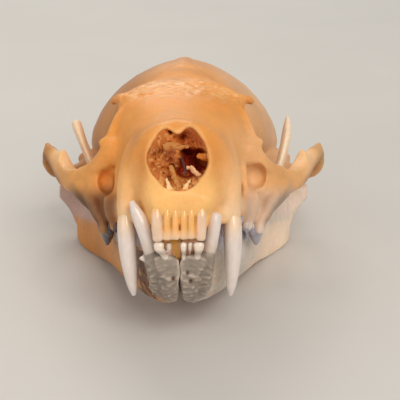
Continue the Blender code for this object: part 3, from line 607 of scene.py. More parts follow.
def craniumGrowths():
    # all that grows on the cranium's body, made on the animal's left and mirrored
    up, side, out = (0, 0, 1), (1, 0, 0), (0, 1, 0)
    left = [
        # gum ridge of the cheek teeth
        bar([(6.3, 7.0, 0.4, 1.2, 1.1), (6.8, 10, 0.0, 1.5, 1.15), (7.9, 13.4, -0.5, 1.6, 1.0),
             (9.0, 16.6, -0.6, 1.7, 1.15), (9.4, 19.0, -0.4, 1.6, 1.3), (8.9, 21.4, 0.4, 1.5, 2.0),
             (7.1, 24.4, 1.4, 1.2, 1.8)], up),
        # the roots of the cheek teeth swell the bone like short columns, two with a knob at the gum
        bar([(8.7, 14.2, 1.6, 0.6, 0.7), (8.7, 13.1, 0.6, 0.84, 0.9), (8.5, 12.4, -0.8, 0.8, 0.85),
             (8.15, 12.3, -1.9, 0.62, 0.7), (8.0, 12.3, -2.5, 0.7, 0.75), (7.95, 12.4, -3.0, 0.5, 0.5)],
            side, steps=50),
        bar([(11.8, 17.2, 1.4, 0.7, 0.75), (11.1, 16.0, 0.2, 0.85, 0.9), (10.3, 15.0, -1.4, 0.72, 0.85),
             (9.75, 14.6, -2.2, 0.62, 0.8), (9.55, 14.5, -2.9, 0.74, 0.9), (9.4, 14.6, -3.5, 0.55, 0.6)],
            side, steps=50),
        bar([(9.6, 17.6, 0.2, 0.5, 0.5), (10.3, 18.6, -1.0, 0.7, 0.7), (10.2, 18.8, -2.1, 0.6, 0.6)], side),
        # edge of the bone over the front teeth, from the middle to the canine
        bar([(0.2, 1.6, -0.3, 1.5, 0.8), (1.6, 1.8, -0.3, 1.5, 0.8), (2.9, 2.4, -0.3, 1.5, 0.85)], up),
        bar([(2.6, 2.6, -0.4, 1.3, 0.8), (3.9, 3.6, -0.5, 1.2, 0.8), (5.2, 4.6, -0.5, 1.1, 0.9)], up),
        bar([(-0.6, 1.55, -1.0, 1.5, 0.5), (1.5, 1.65, -1.0, 1.5, 0.5), (2.9, 2.3, -1.0, 1.4, 0.6)], up),
        # upper bar of the cheek, the plates below the eye and the two posts beside its pocket
        bar([(7.6, 14.2, 6.7, 1.9, 0.9), (8.9, 14.9, 6.0, 1.5, 0.85), (10.0, 15.6, 5.1, 1.1, 0.8),
             (11.2, 16.9, 4.2, 0.95, 0.8), (12.9, 18.9, 3.4, 1.0, 0.8)], up),
        bar([(6.8, 15.8, 3.0, 2.2, 0.7), (9.3, 15.9, 3.0, 2.2, 0.7), (11.6, 17.6, 2.8, 1.7, 0.9)], up),
        bar([(6.6, 17.7, 3.2, 2.2, 1.7), (9.0, 17.8, 3.2, 2.2, 1.7), (11.6, 18.9, 2.8, 1.8, 1.4)], up),
        bar([(10.7, 16.5, 4.6, 0.6, 0.7), (11.2, 17.0, 2.8, 0.7, 0.8), (10.9, 16.8, 1.0, 0.8, 0.9)], side),
        bar([(7.5, 13.2, 5.2, 0.5, 0.8), (7.65, 12.9, 3.4, 0.42, 0.7), (7.7, 12.8, 1.4, 0.6, 0.8)], side),
        # knob of the tear bone, and the front rim of the orbit
        bar([(8.8, 16.0, 7.4, 0.8, 0.6), (9.6, 15.5, 7.7, 0.6, 0.55), (10.1, 15.2, 7.8, 0.55, 0.5)], up,
            blunt=0.5),
        bar([(9.3, 15.4, 7.3, 0.6, 0.7), (8.7, 16.2, 8.6, 0.55, 0.8), (8.1, 17.4, 10.2, 0.5, 0.9),
             (7.4, 19.0, 11.6, 0.5, 0.9)], side),
        # lower bar of the cheek
        bar([(8.2, 16.0, -0.2, 1.3, 1.3), (10.0, 17.2, -0.3, 1.5, 1.4), (11.5, 18.2, 0.7, 1.5, 1.15),
             (13.0, 19.4, 2.0, 1.5, 0.95)], up),
        # cheek arch, the knob on its end and the low point behind the eye
        bar(arch["path"], (-0.3, 0, 1), steps=100, around=36, blunt=1),
        bar([(18.6, 34.6, 5.9, 0.9, 0.6), (18.95, 35.1, 6.7, 0.55, 0.5), (19.1, 35.3, 7.25, 0.24, 0.24)],
            out),
        bar([(15.8, 26.0, 4.4, 1.8, 0.8), (15.8, 26.6, 5.9, 1.1, 0.7), (15.8, 27.1, 6.9, 0.5, 0.5)], out),
        # brow point behind the orbit, and the line that runs back from it
        bar([(6.2, 20.9, 13.0, 1.0, 1.7), (7.8, 22.3, 13.15, 0.75, 1.2), (8.6, 23.0, 13.0, 0.62, 0.8),
             (9.2, 23.5, 12.6, 0.58, 0.62)], up),
        onSkin([23, 26, 30, 34, 38], [38, 50, 66, 80, 88], 0.3, 0.5, lift=-0.1),
        # ear capsule, its tube, the lip of the jaw joint and the two points behind the ear
        egg((7.6, 49.4, 0.9), (3.9, 7.4, 3.9), tilt=-4),
        bar([(9.6, 47.6, 1.5, 2.0, 2.2), (12.6, 46.9, 2.6, 1.6, 1.7)], up, blunt=0.7),
        bar([(11.4, 43.4, 4.4, 2.0, 2.0), (14.2, 44.6, 4.6, 1.4, 1.5), (15.5, 45.4, 4.6, 0.75, 0.8)], up),
        bar([(11.8, 52.0, 6.4, 2.2, 2.8), (12.9, 53.6, 3.8, 1.8, 2.4), (13.2, 54.4, 2.0, 1.3, 1.7),
             (13.1, 54.7, 0.9, 0.5, 0.8)], side),
        bar([(10.2, 56.2, 4.4, 2.0, 1.9), (10.5, 57.6, 2.0, 1.2, 1.2), (10.5, 58.4, 0.5, 0.7, 0.7),
             (10.4, 58.8, -0.3, 0.3, 0.3)], side),
        # neck joint, and the wing beside the inner nostril
        bar([(1.6, 62.6, 2.3, 1.1, 1.4), (3.8, 64.2, 2.9, 1.7, 1.8), (5.4, 64.3, 4.6, 1.7, 1.7),
             (6.0, 62.8, 7.0, 1.2, 1.2)], up),
        bar([(3.9, 27.0, 2.4, 1.8, 0.7), (3.6, 32, 2.6, 2.0, 0.55), (3.9, 37, 2.9, 2.0, 0.5),
             (4.2, 40.4, 1.2, 0.7, 0.4)], up),
        # crest across the nape
        onSkin([63.0, 62.4, 61.2, 59.4, 57.2, 54.6], [90, 74, 56, 34, 10, -20], 0.8, 0.55, lift=0.3,
               aim=(0.3, 0.2, 1)),
    ]
    middle = [
        onSkin([34, 40, 47, 54, 60, 63.1], [90] * 6, 0.26, 0.9),  # crest along the top
        bar([(0, 43.0, 1.9, 0.45, 0.5), (0, 50.0, 1.4, 0.55, 0.5), (0, 58.5, 1.6, 0.5, 0.4)], up),  # keel
        bar([(0, 8.5, 0.25, 0.3, 0.3), (0, 18.0, 0.65, 0.35, 0.3), (0, 26.5, 1.75, 0.3, 0.3)], up),  # palate
        noseLip(),
    ]
    return both(left) + middle + [sided(canineRoot(name), sign) for name, sign in sides]


def cheekTunnel(centre, reach):
    # straight tunnel into the plate below the eye, with a rounded floor
    x, y, z = centre
    wide, deep, high = reach
    return bar([(x, y - 2.0, z, high, wide), (x, y + 0.6 * deep, z, high, wide),
                (x, y + deep, z, 0.8 * high, 0.8 * wide)], (0, 0, 1), blunt=0.8)


def craniumHollows():
    # all that is cut out of the cranium
    left = [
        egg(*cranium["orbit"]),
        bar([(16.0, 46.0, 3.0, 1.0, 1.1), (9.5, 47.4, 1.8, 1.0, 1.1)], (0, 0, 1)),  # ear hole
        egg((1.15, 6.4, -0.7), (0.55, 1.5, 0.9)),  # gap of the front palate
        # nerve holes: rear palate, before the ear capsule, before the neck joint
        egg((4.6, 19.5, -0.2), (0.4, 0.9, 0.8)),
        egg((2.6, 46.5, 1.2), (0.6, 1.2, 0.9)),
        egg((4.3, 59.8, 1.6), (0.7, 0.9, 0.8)),
    ]
    middle = [
        *[sided(cheekTunnel(*cranium["cheekHoles"][name]), sign) for name, sign in sides],
        # channel behind the palate, and the opening for the spinal cord
        bar([(0, 28.5, 0.6, 2.2, 2.2), (0, 34, 1.4, 2.4, 2.6), (0, 41, 1.2, 1.0, 2.4)], (0, 0, 1)),
        egg((0, 65.5, 6.6), (3.9, 6.5, 3.2)),
        noseCutter(),
    ]
    return both(left) + middle


def archBlock(sign, grow=0.0):
    # six-sided block round the arch, its front and back faces lying in the two suture planes
    outer, low, high = arch["block"]["outer"], arch["block"]["low"], arch["block"]["high"]
    corners = []
    for (y, z, slant), inner, shift in zip(arch["sutures"], arch["block"]["inner"], (-grow, grow)):
        lean = math.tan(math.radians(slant))
        inner = inner - grow
        for x, height in ((inner, low), (outer, low), (outer, high), (inner, high)):
            corners.append((x, y + shift - lean * (height - z), height))
    points = np.array(corners)
    quads = np.array([[0, 1, 2, 3], [7, 6, 5, 4], [0, 4, 5, 1], [1, 5, 6, 2], [2, 6, 7, 3], [3, 7, 4, 0]])
    return sided((points, quads, np.zeros((0, 3), int)), sign)


def browBand(points):
    # 1 along the arc of folded bone across the brow, between the two eye sockets
    x, y, z = points.T
    brow = cranium["brow"]
    return np.exp(-((y - brow["y"] + brow["bend"] * np.abs(x)) / brow["reach"]) ** 2) * fade(z, *brow["z"])


def boneTint(points, depth):
    # honey and cream bone, browner on the animal's right as painted shade, in layers by place; then the
    # brow's folds, the inside of the nose darker as painted shade, and last hollows darker and ridges paler
    # by their depth: painted shade and painted highlight
    x, y, z = points.T
    side = np.abs(x)
    left, right = fade(x, -1, 1), fade(-x, -1, 1)
    layers = [
        ("#E8922A", 0.6 * fade(z, 10.5, 13.0) * (1 - fade(y, 27, 35))),
        ("#F6BF76", (1 - fade(y, 3.5, 8.0)) * (1 - fade(z, 2.5, 6.5))),
    ]
    for name, sign in sides:
        column, pocketLit, collar, valleyShadeShare, creaseShadeShare = cranium["looks"][name]

        def spot(centre, reach):
            # near a place that is given on the left, on this side
            return near(points, np.array(centre) * (sign, 1, 1), reach)

        valley = np.maximum(spot((4.4, 4.6, 3.2), (0.75, 2.5, 3.4)),
                            0.8 * spot((5.1, 8.0, 7.6), (0.8, 3.0, 2.2)))
        layers += [
            (column, 0.8 * spot((6.3, 6.0, 1.0), (1.5, 5, 4))),
            # painted shade in the valley beside the nose, painted light on the pocket's floor below the eye
            # and painted shade in its crease
            ("#BC7434", valleyShadeShare * valley),
            (pocketLit, 1.5 * spot((9.3, 16.2, 3.0), (1.6, 1.2, 1.9))),
            ("#5A2A10", creaseShadeShare * spot((8.25, 15.8, 2.3), (0.36, 1.6, 1.4))),
            (collar, np.minimum(1.2 * spot((6.25, 4.6, -0.2), (1.5, 2.6, 1.5)), 0.9)),
            # painted light: the back root of the cheek arch made paler
            ("#F4C89C", 0.8 * spot((15.4, 45, 4.6), (2.4, 2.5, 1.8))),
            ("#9A6A38", 0.6 * spot((9.2, 23.5, 12.6), (1.0, 1.0, 0.8))),
        ]
    root = (1 - fade(z, 0.2, 2.8)) * fade(side, 7.2, 8.2) * (1 - fade(y, 19, 22))
    furrowShade = root * fade(y - 0.8 * (side - 8.0), 13.8, 15.2)
    brimShade = (1 - fade(z - 1.14 * (side - 13.25) - 0.78, 0.3, 1.6)) * fade(side, 9.6, 10.6)
    brimShade = brimShade * (1 - fade(side, 12.6, 14.4))
    inNose = (side < 3.7) & (z > 2.2) & (z < 10.0) & (y < 15)
    layers += [
        # muzzle and braincase, with painted light on the animal's left and painted shade on its right
        ("#ECC294", 0.6 * fade(x, 3.0, 9.0) * (1 - fade(z, 8.0, 12.0))),
        ("#DDA06A", fade(y, 30, 42)),
        ("#DDB48C", 0.7 * fade(y, 28, 36) * fade(x, 2, 8)),
        ("#A87040", 0.7 * fade(y, 28, 36) * fade(-x, 2, 8) * (1 - fade(y, 48, 58))),
        # under side, palate and cheek
        ("#E3C49A", fade(y, 40, 46) * (1 - fade(z, 0.5, 4.0))),
        ("#E2BE92", (1 - fade(z, -0.6, 0.8)) * fade(y, 6, 10) * (1 - fade(side, 5, 7))),
        ("#D9A05E", 0.6 * fade(side, 8.5, 12.0) * (1 - fade(y, 36, 42))),
        # columns over the cheek teeth, grey beige on the left; painted shade: the columns dark on the right,
        # the furrows between them, the cheek's lower edge and the front of each outer column
        ("#D4B8A4", 0.85 * root * left),
        ("#A09088", 0.85 * furrowShade * left),
        ("#785038", 0.85 * root * right),
        ("#4C3428", 0.85 * furrowShade * right),
        ("#8A7868", 0.75 * brimShade * left),
        ("#5E3C1E", 0.8 * brimShade * right),
        ("#948680", 0.8 * near(points, (11.2, 16.8, -0.3), (1.1, 2.5, 1.3))),
        ("#50341F", 0.65 * near(points, (-10.9, 16.8, -0.5), (1.2, 2.5, 1.4))),
        # knobs at the gum
        ("#E4DEE2", 0.9 * near(points, (8.0, 12.2, -2.7), (1.0, 1.4, 0.7))),
        ("#E4DEE2", 0.9 * near(points, (9.5, 14.3, -3.2), (1.0, 1.4, 0.7))),
        ("#F2B870", 0.4 * browBand(points) * fade(grain(points, 0.9), -0.4, 0.5)),
        # painted shade inside the nose opening, darker the further in
        ("#8A3A14", fade(y - noseFront(x * 1.04, z), 0.5, 1.6) * inNose),
        # painted shade in hollows and painted highlight on ridges, by their depth
        ("#98582A", 0.6 * fade(depth, 0.05, 0.25)),
        ("#F4CC98", 0.35 * fade(-depth, 0.03, 0.16)),
    ]
    return layered(plain(points, "#E59B49"), layers)


def archTint(points, depth):
    # the cranium's colours, warmer behind the front suture, darker at the end, with painted shade along the
    # lower edge and a painted highlight along the top
    x, y, z = points.T
    left, right = fade(x, -1, 1), fade(-x, -1, 1)
    grown = fade(y, 21.5, 26.0)
    low = (1 - fade(z - 0.6 - 0.3 * (y - 21), 0.6, 1.9)) * fade(y, 22, 25) * (1 - fade(y, 34.4, 36.2))
    end = fade(y, 29.5, 33.0) * fade(z, 1.5, 3.5)
    return layered(boneTint(points, depth), [
        ("#E8A862", grown * right),
        ("#F2BE86", grown * left),
        ("#A87438", 0.75 * end * right),
        ("#B8905E", 0.7 * end * left),
        # painted shade along the lower edge
        ("#6A4020", 0.85 * low * right),
        ("#9A7040", 0.7 * low * left),
        # painted highlight along the top
        ("#FAD6A4", 0.5 * fade(z - 0.16 * (y - 22), 3.4, 4.6) * (1 - end)),
    ])


def makeCranium():
    # one bone melted from the body and its growths, hollowed, smoothed and given relief; what lies
    # between the two sutures of each side becomes a cheek arch of its own
    piece = newMesh("craniumBone", [craniumBody()] + craniumGrowths())
    melted(piece, cranium["voxel"])
    carved(piece, craniumHollows())
    melted(piece, cranium["voxel"])

    def soft(points):
        # all over, but little round the nose opening and the pockets below the eyes
        crisp = near(points, (0, 3.5, 6), (4.2, 3.5, 4.2))
        for name, sign in sides:
            crisp = crisp + near(points, (9.25 * sign, 15.3, 3.1), (2.1, 1.6, 2.3))
        return 1 - 0.75 * np.clip(crisp, 0, 1)

    def roots(points):
        # where the bars grow out of the bone, and under the braincase, one form flows into the other
        total = 0
        for name, sign in sides:
            for centre, reach in cranium["roots"]:
                total = total + near(points, np.array(centre) * (sign, 1, 1), reach)
        under = (1 - fade(points[:, 2], 2.0, 4.5)) * fade(points[:, 1], 41, 44)
        return np.clip(total + 0.7 * under, 0, 1)

    def relief(points):
        # folds of the brow, the valley beside the nose, the temple's muscle marks and three sizes of lump
        x, y, z = points.T
        high = cranium["relief"]
        wrinkles = 0.5 - np.abs(grain(points * (0.35, 1.2, 1), 0.8)) + 0.5 * grain(points, 0.6, 2.0)
        onLeft = points * (np.sign(x)[:, None] * (1, 0, 0) + (0, 1, 1))
        height = browBand(points) * (high["folds"] * wrinkles - high["folds"])
        height = height - high["valley"] * near(onLeft, (4.35, 4.4, 3.0), (0.7, 2.5, 3.6))
        height = height + high["temple"] * (fade(y, 30, 38) * fade(z, 3, 6)) * grain(points, 1.6, 3.1)
        for lump, size, shift in cranium["lumps"]:
            height = height + lump * grain(points, size, shift)
        return height

    relaxed(piece, soft, cranium["rounds"]["skin"])
    relaxed(piece, roots, cranium["rounds"]["roots"])
    raised(piece, relief)
    thinned(piece, cranium["triangles"])
    arches = {}
    for name, sign in sides:
        arches[name] = bpy.data.objects.new("cheekArch" + name.capitalize(), piece.data.copy())
        bpy.context.scene.collection.objects.link(arches[name])
        carved(arches[name], [archBlock(sign)], voxel=0, operation="INTERSECT")
    for name, sign in sides:
        carved(piece, [archBlock(sign, grow=arch["seam"])], voxel=0)
    for name, part in arches.items():
        tinted(part, archTint(pointsOf(part), hollows(part)))
        finished(part, archBone, "arch_bone", "zygomatic_arch_" + name)
    tinted(piece, boneTint(pointsOf(piece), hollows(piece)))
    tinted(piece, browBand(pointsOf(piece))[:, None] * np.ones(3), "band")
    finished(piece, craniumBone, "cranium_bone", "cranium")


makeCranium()
print("cranium made")

jaw = {
    # y, bottom, top, x of the bottom and the top, thickness there, squareness
    "sections": np.array([
        (1.3, -7.6, -4.7, 0.7, 1.7, 1.8, 3.6, 0.75), (2.5, -9.3, -4.5, 0.8, 1.9, 2.0, 3.9, 0.75),
        (4.6, -10.35, -4.4, 1.0, 2.15, 2.5, 4.4, 0.75), (8.4, -10.8, -4.2, 2.4, 3.6, 4.2, 3.9, 0.8),
        (12.6, -10.4, -4.0, 4.4, 5.5, 3.2, 3.4, 0.85), (18.0, -9.8, -3.6, 6.3, 7.2, 3.0, 3.5, 0.85),
        (22.5, -9.3, -3.1, 7.8, 8.7, 2.9, 3.1, 0.75), (25.2, -8.9, -2.3, 8.8, 9.7, 2.6, 2.5, 0.65),
        (26.8, -8.8, 0.2, 9.4, 10.5, 2.5, 2.1, 0.55), (28.6, -8.7, 2.8, 10.1, 11.3, 2.4, 1.7, 0.5),
        (31.2, -8.6, 3.6, 11.3, 11.8, 2.3, 1.7, 0.5), (34.2, -7.8, 3.6, 13.3, 12.4, 2.4, 1.7, 0.5),
        (36.6, -7.15, 2.0, 14.2, 13.1, 2.5, 1.7, 0.5), (39.0, -6.35, 0.6, 14.4, 13.8, 2.3, 2.2, 0.6),
        (41.0, -5.2, -1.0, 14.4, 14.0, 1.9, 2.1, 0.7),
    ]),
    "joint": ((0.15, 2.1), (0.05, 2.6)),  # waves of the joint along y and z: height, turns per mm
    "voxel": 0.16,
    "rounds": 6,  # of smoothing
    "triangles": 120000,
    "lumps": ((0.06, 3.0, 4.4), (0.015, 0.5, 6.1)),  # height, size and shift of grain
    "holeDepth": 0.5,
    "gumMiddle": {"left": 0.16, "right": -0.13},  # how near the middle the bone behind the teeth begins
    # notch between the front teeth, wide on the right, where one is lost
    "notch": {"left": [(-0.4, 0.3, -4.2, 0.75, 0.8), (-0.3, 2.6, -4.0, 0.75, 0.8)],
              "right": [(-0.3, 0.3, -4.0, 1.2, 1.5), (0.0, 1.2, -4.0, 1.2, 1.4), (0.2, 2.6, -3.7, 1.0, 1.1)]},
    "coronoid": {
        "right": [(11.4, 31.3, 1.4, 4.6, 0.9), (12.55, 31.2, 4.6, 3.7, 0.66), (13.65, 31.3, 7.3, 2.8, 0.58),
                  (14.25, 31.5, 8.9, 2.1, 0.64), (14.65, 31.8, 10.0, 1.6, 0.66)],
        "left": [(12.0, 31.3, 1.4, 4.6, 0.9), (13.3, 31.2, 4.4, 3.7, 0.62), (13.85, 31.3, 6.6, 2.8, 0.66),
                 (14.3, 31.5, 9.0, 2.1, 0.62), (14.4, 31.8, 10.8, 1.2, 0.25)],
    },
    "chinHoles": [(-0.75, 1.9, -7.35, 0.17), (0.85, 1.7, -6.7, 0.15), (1.22, 2.0, -7.75, 0.16)],  # and reach
    # colours: body, wing, lower edge, behind the front teeth (a painted glow), spongy bone, tip of the wing;
    # the right's set is darker, partly painted shade
    "codes": {"left": ("#CEC6BE", "#E4D3C6", "#F4DCC6", "#FFCFA8", "#C8B6A4", "#FFECD4"),
              "right": ("#C88C50", "#B89A90", "#CC8844", "#FFC468", "#5A3212", "#FADCBC")},
}


def jawBody(sign, steps=200, around=80):
    # upright section from the lower edge to the tooth row, its sides a power of a sine; the halves meet
    # in a wavy joint
    rows = jaw["sections"]
    at = np.linspace(rows[0, 0], rows[-1, 0], steps)
    y, bottom, top, lowX, highX, thickLow, thickHigh, square = through(rows[:, 0], rows, at).T[:, :, None]
    turn = np.linspace(0, 2 * math.pi, around, endpoint=False)[None]
    share = (1 - np.cos(turn)) / 2
    thick = (thickLow + (thickHigh - thickLow) * share) / 2
    x = lowX + (highX - lowX) * share + thick * power(np.sin(turn), square)
    z = bottom + (top - bottom) * share
    (highY, rateY), (highZ, rateZ) = jaw["joint"]
    x = np.maximum(x, sign * (highY * np.sin(rateY * y) + highZ * np.sin(rateZ * z)))
    return skinned(np.stack([x, np.broadcast_to(y, x.shape), z], -1)[:, ::-1])


def jawForms(name, sign):
    # the body and all that grows on it, made as if on the animal's left
    up, side = (0, 0, 1), (1, 0, 0)
    middle = jaw["gumMiddle"][name]
    forms = [
        jawBody(sign),
        # joint head
        bar([(10.4, 40.9, 0.0, 0.98, 0.98), (14.45, 40.6, 0.15, 1.1, 1.1), (18.0, 40.5, 0.2, 0.9, 0.9)], up,
            blunt=0.5),
        # wing, its foot under the joint, and the corner of the jaw
        bar(jaw["coronoid"][name], (0.08, 1, 0), steps=50, blunt=0.45),
        bar([(14.2, 38.6, -4.4, 1.2, 1.5), (14.8, 39.6, -1.6, 2.1, 1.3), (15.2, 40.3, 0.0, 3.1, 1.0)], side),
        bar([(14.3, 38.6, -4.6, 1.1, 1.0), (14.4, 41.0, -4.6, 1.0, 0.9), (14.3, 43.6, -4.3, 0.6, 0.55)], up),
        # over the canine's root, and behind the front teeth
        bar([(3.2, 3.5, -4.3, 0.95, 1.5), (3.05, 3.6, -6.0, 0.9, 1.5), (2.7, 4.6, -8.0, 0.9, 1.3),
             (2.4, 6.2, -9.4, 0.9, 1.0)], side),
        bar([(middle, 3.5, -4.2, 1.4, 0.7), (1.4, 3.6, -4.2, 1.35, 0.7), (2.5, 3.9, -4.5, 1.0, 0.8)], up,
            blunt=1),
    ]
    if name == "right":
        forms.append(egg((4.25, 3.5, -5.35), (0.46, 0.24, 0.38), tilt=15))  # splinter by the tooth
    return forms


def jawHollows(name):
    # the muscle pit outside the wing, and the notch between the front teeth
    return [egg((18.1, 34.2, -0.4), (4.6, 4.6, 5.2)), bar(jaw["notch"][name], (0, 0, 1), blunt=0.8)]


def chinHole(points, x, y, z, reach):
    # 1 in the middle of a nerve hole of the chin
    return near(points, (x, y, z), (reach, 1.5, reach * 1.3))


def jawTint(points, depth, name):
    # body, lower edge and wing each in their colour, then the chin and its spots, the nerve holes painted
    # dark as shade; hollows are darker and ridges paler by their depth, as painted shade and painted
    # highlight
    x, y, z = points.T
    side = np.abs(x)
    body, wing, edge, inner, sponge, wingTip = jaw["codes"][name]
    high = fade(z, -4.3, -2.7)
    tongueSide = (1 - fade(side, 1.6, 2.2)) * fade(y, 2.3, 3.0) * (1 - fade(y, 6.0, 8.0))
    spongy = fade(side, 2.4, 3.2) * fade(y, 4.2, 5.6) * (1 - fade(y, 9, 13)) * (1 - fade(z, -5.2, -4.4))
    return layered(plain(points, body), [
        (edge, fade(y, 16, 22) * (1 - high)),
        (wing, fade(y, 18, 24) * high * (1 - fade(z, 1.5, 3.5))),
        # grey chin, darkened in part as painted shade where it faces down
        ("#8F847A", 1 - fade(y, 4.2, 7.4)),
        # painted glow: the bone behind the front teeth brightened as if lit through
        (inner, tongueSide * fade(z, -6.0, -5.0)),
        (sponge, 0.95 * spongy * fade(grain(points, 0.6, 1.4), -0.9, 0.2)),
        (wingTip, fade(z, 2.0, 5.0) * fade(y, 25, 28)),
        ("#C6C0BA", 0.6 * near(points, (9.8, 20, -6.8), (2.0, 5, 1.8))),
        ("#E6DCD4", 1.6 * near(points, (-4.35, 3.4, -5.35), (0.45, 0.5, 0.45))),
        # painted shade in hollows and nerve holes, painted highlight on ridges
        ("#84603E", 0.6 * fade(depth, 0.05, 0.22)),
        *[("#5A3418", 1.4 * chinHole(points, *hole)) for hole in jaw["chinHoles"]],
        ("#EADACB", 0.45 * fade(-depth, 0.02, 0.12)),
    ])


def makeJaw(name, sign):
    # half a jaw, melted and hollowed like the cranium, with folds and pits on the chin
    piece = newMesh("jawBone" + name.capitalize(), [sided(shape, sign) for shape in jawForms(name, sign)])
    melted(piece, jaw["voxel"])
    carved(piece, [sided(shape, sign) for shape in jawHollows(name)])
    melted(piece, jaw["voxel"])

    def relief(points):
        # flat folds and small pits on the chin, its nerve holes, and two sizes of lump all over
        x, y, z = points.T
        chin = 1 - fade(y, 5.0, 9.0)
        slope = points * (0.42, 1.0, 1.6) + (0, 0, 0.5) * np.abs(x)[:, None]
        folds = 1.1 * (0.27 - np.abs(grain(slope, 0.7, 1.1))) + 0.6 * grain(slope, 0.38, 8.1)
        pits = -0.25 * np.clip(grain(points, 0.6, 2.2) - 0.5, 0, 1)
        height = chin * ((0.22 - 0.12 * fade(z, -7.6, -5.6)) * folds + pits)
        for high, size, shift in jaw["lumps"]:
            height = height + high * grain(points, size, shift)
        holes = sum(chinHole(points, *hole) for hole in jaw["chinHoles"])
        return (np.abs(x) > 0.3) * height - jaw["holeDepth"] * holes

    relaxed(piece, lambda points: fade(np.abs(points[:, 0]), 0.2, 0.7), jaw["rounds"])
    raised(piece, relief)
    thinned(piece, jaw["triangles"])
    tinted(piece, jawTint(pointsOf(piece), hollows(piece), name))
    finished(piece, jawBone, "jaw_bone", "mandible_" + name)


for jawName, jawSign in sides:
    makeJaw(jawName, jawSign)
print("lower jaw made")

upperCanine = [(6.20, 6.6, 2.2, 0.85, 1.35), (6.20, 5.6, -0.2, 0.95, 1.50), (6.20, 5.3, -1.4, 1.04, 1.55),
               (6.15, 5.1, -2.7, 1.08, 1.47), (6.02, 5.0, -4.6, 1.03, 1.30), (5.84, 5.2, -6.4, 0.90, 1.08),
               (5.66, 5.55, -8.1, 0.68, 0.80), (5.50, 5.9, -9.25, 0.46, 0.52), (5.42, 6.1, -9.9, 0.24, 0.27)]
canines = {
    "upper": {
        "path": {"left": upperCanine, "right": upperCanine},  # x, y, z, half width, half depth
        "set": {"left": (-0.3, 0.07), "right": (0.0, 0.0)},  # shift aside, lean by the way from the gum
        "gum": -0.2,
        "length": 9.5,
        "blunt": 0.15,
        "codes": ("#F0C492", "#F4D6B6", "#E2D8D4"),  # of the root, the neck and the crown
    },
    "lower": {
        "path": {
            "left": [(3.0, 4.0, -6.4, 0.6, 1.0), (3.15, 3.6, -4.9, 0.78, 1.28), (3.38, 3.3, -3.9, 0.84, 1.25),
                     (3.65, 3.0, -2.6, 0.80, 1.10), (3.86, 2.8, -1.4, 0.78, 0.96),
                     (3.97, 2.75, -0.6, 0.75, 0.86), (4.03, 2.75, -0.15, 0.60, 0.68),
                     (4.05, 2.75, 0.02, 0.38, 0.42)],  # its tip is worn off
            "right": [(2.9, 4.0, -6.4, 0.6, 1.0), (3.1, 3.6, -4.9, 0.84, 1.3), (3.35, 3.3, -4.0, 0.96, 1.30),
                      (3.78, 3.0, -2.7, 0.90, 1.12), (4.42, 2.8, -1.0, 0.84, 0.93),
                      (5.05, 2.7, 0.3, 0.60, 0.66), (5.46, 2.8, 1.25, 0.28, 0.30)],
        },
        "set": {"left": (0.0, 0.0), "right": (0.0, 0.0)},
        "gum": -4.6,
        "length": 5.5,
        "blunt": 0.12,
        "codes": ("#CDBFB2", "#DACCC0", "#E2D8D4"),
    },
}


def enamelTint(points, gum, length, root, neck, crown):
    # bone colour at the root, cream at the neck and a cool milky white further along the crown
    share = np.abs(points[:, 2] - gum) / length
    return layered(plain(points, neck), [
        (crown, fade(share, 0.03, 0.4)),
        (root, 1 - fade(share, -0.02, 0.05)),
    ])


def makeCanine(row, name, sign):
    # oval section carried along a curved path from the root to the tip
    look = canines[row]
    stations = np.array(look["path"][name])
    shift, lean = look["set"][name]
    stations[:, 0] += shift + lean * np.abs(stations[:, 2] - look["gum"])
    shape = bar(stations, (1, 0, 0), steps=120, around=64, blunt=look["blunt"])
    piece = newMesh(row + "Canine" + name.capitalize(), [sided(shape, sign)])
    tinted(piece, enamelTint(pointsOf(piece), look["gum"], look["length"], *look["codes"]))
    finished(piece, enamel, "tooth_enamel", f"{row}_canine_{name}")


for canineName, canineSign in sides:
    for canineRow in ("upper", "lower"):
        makeCanine(canineRow, canineName, canineSign)

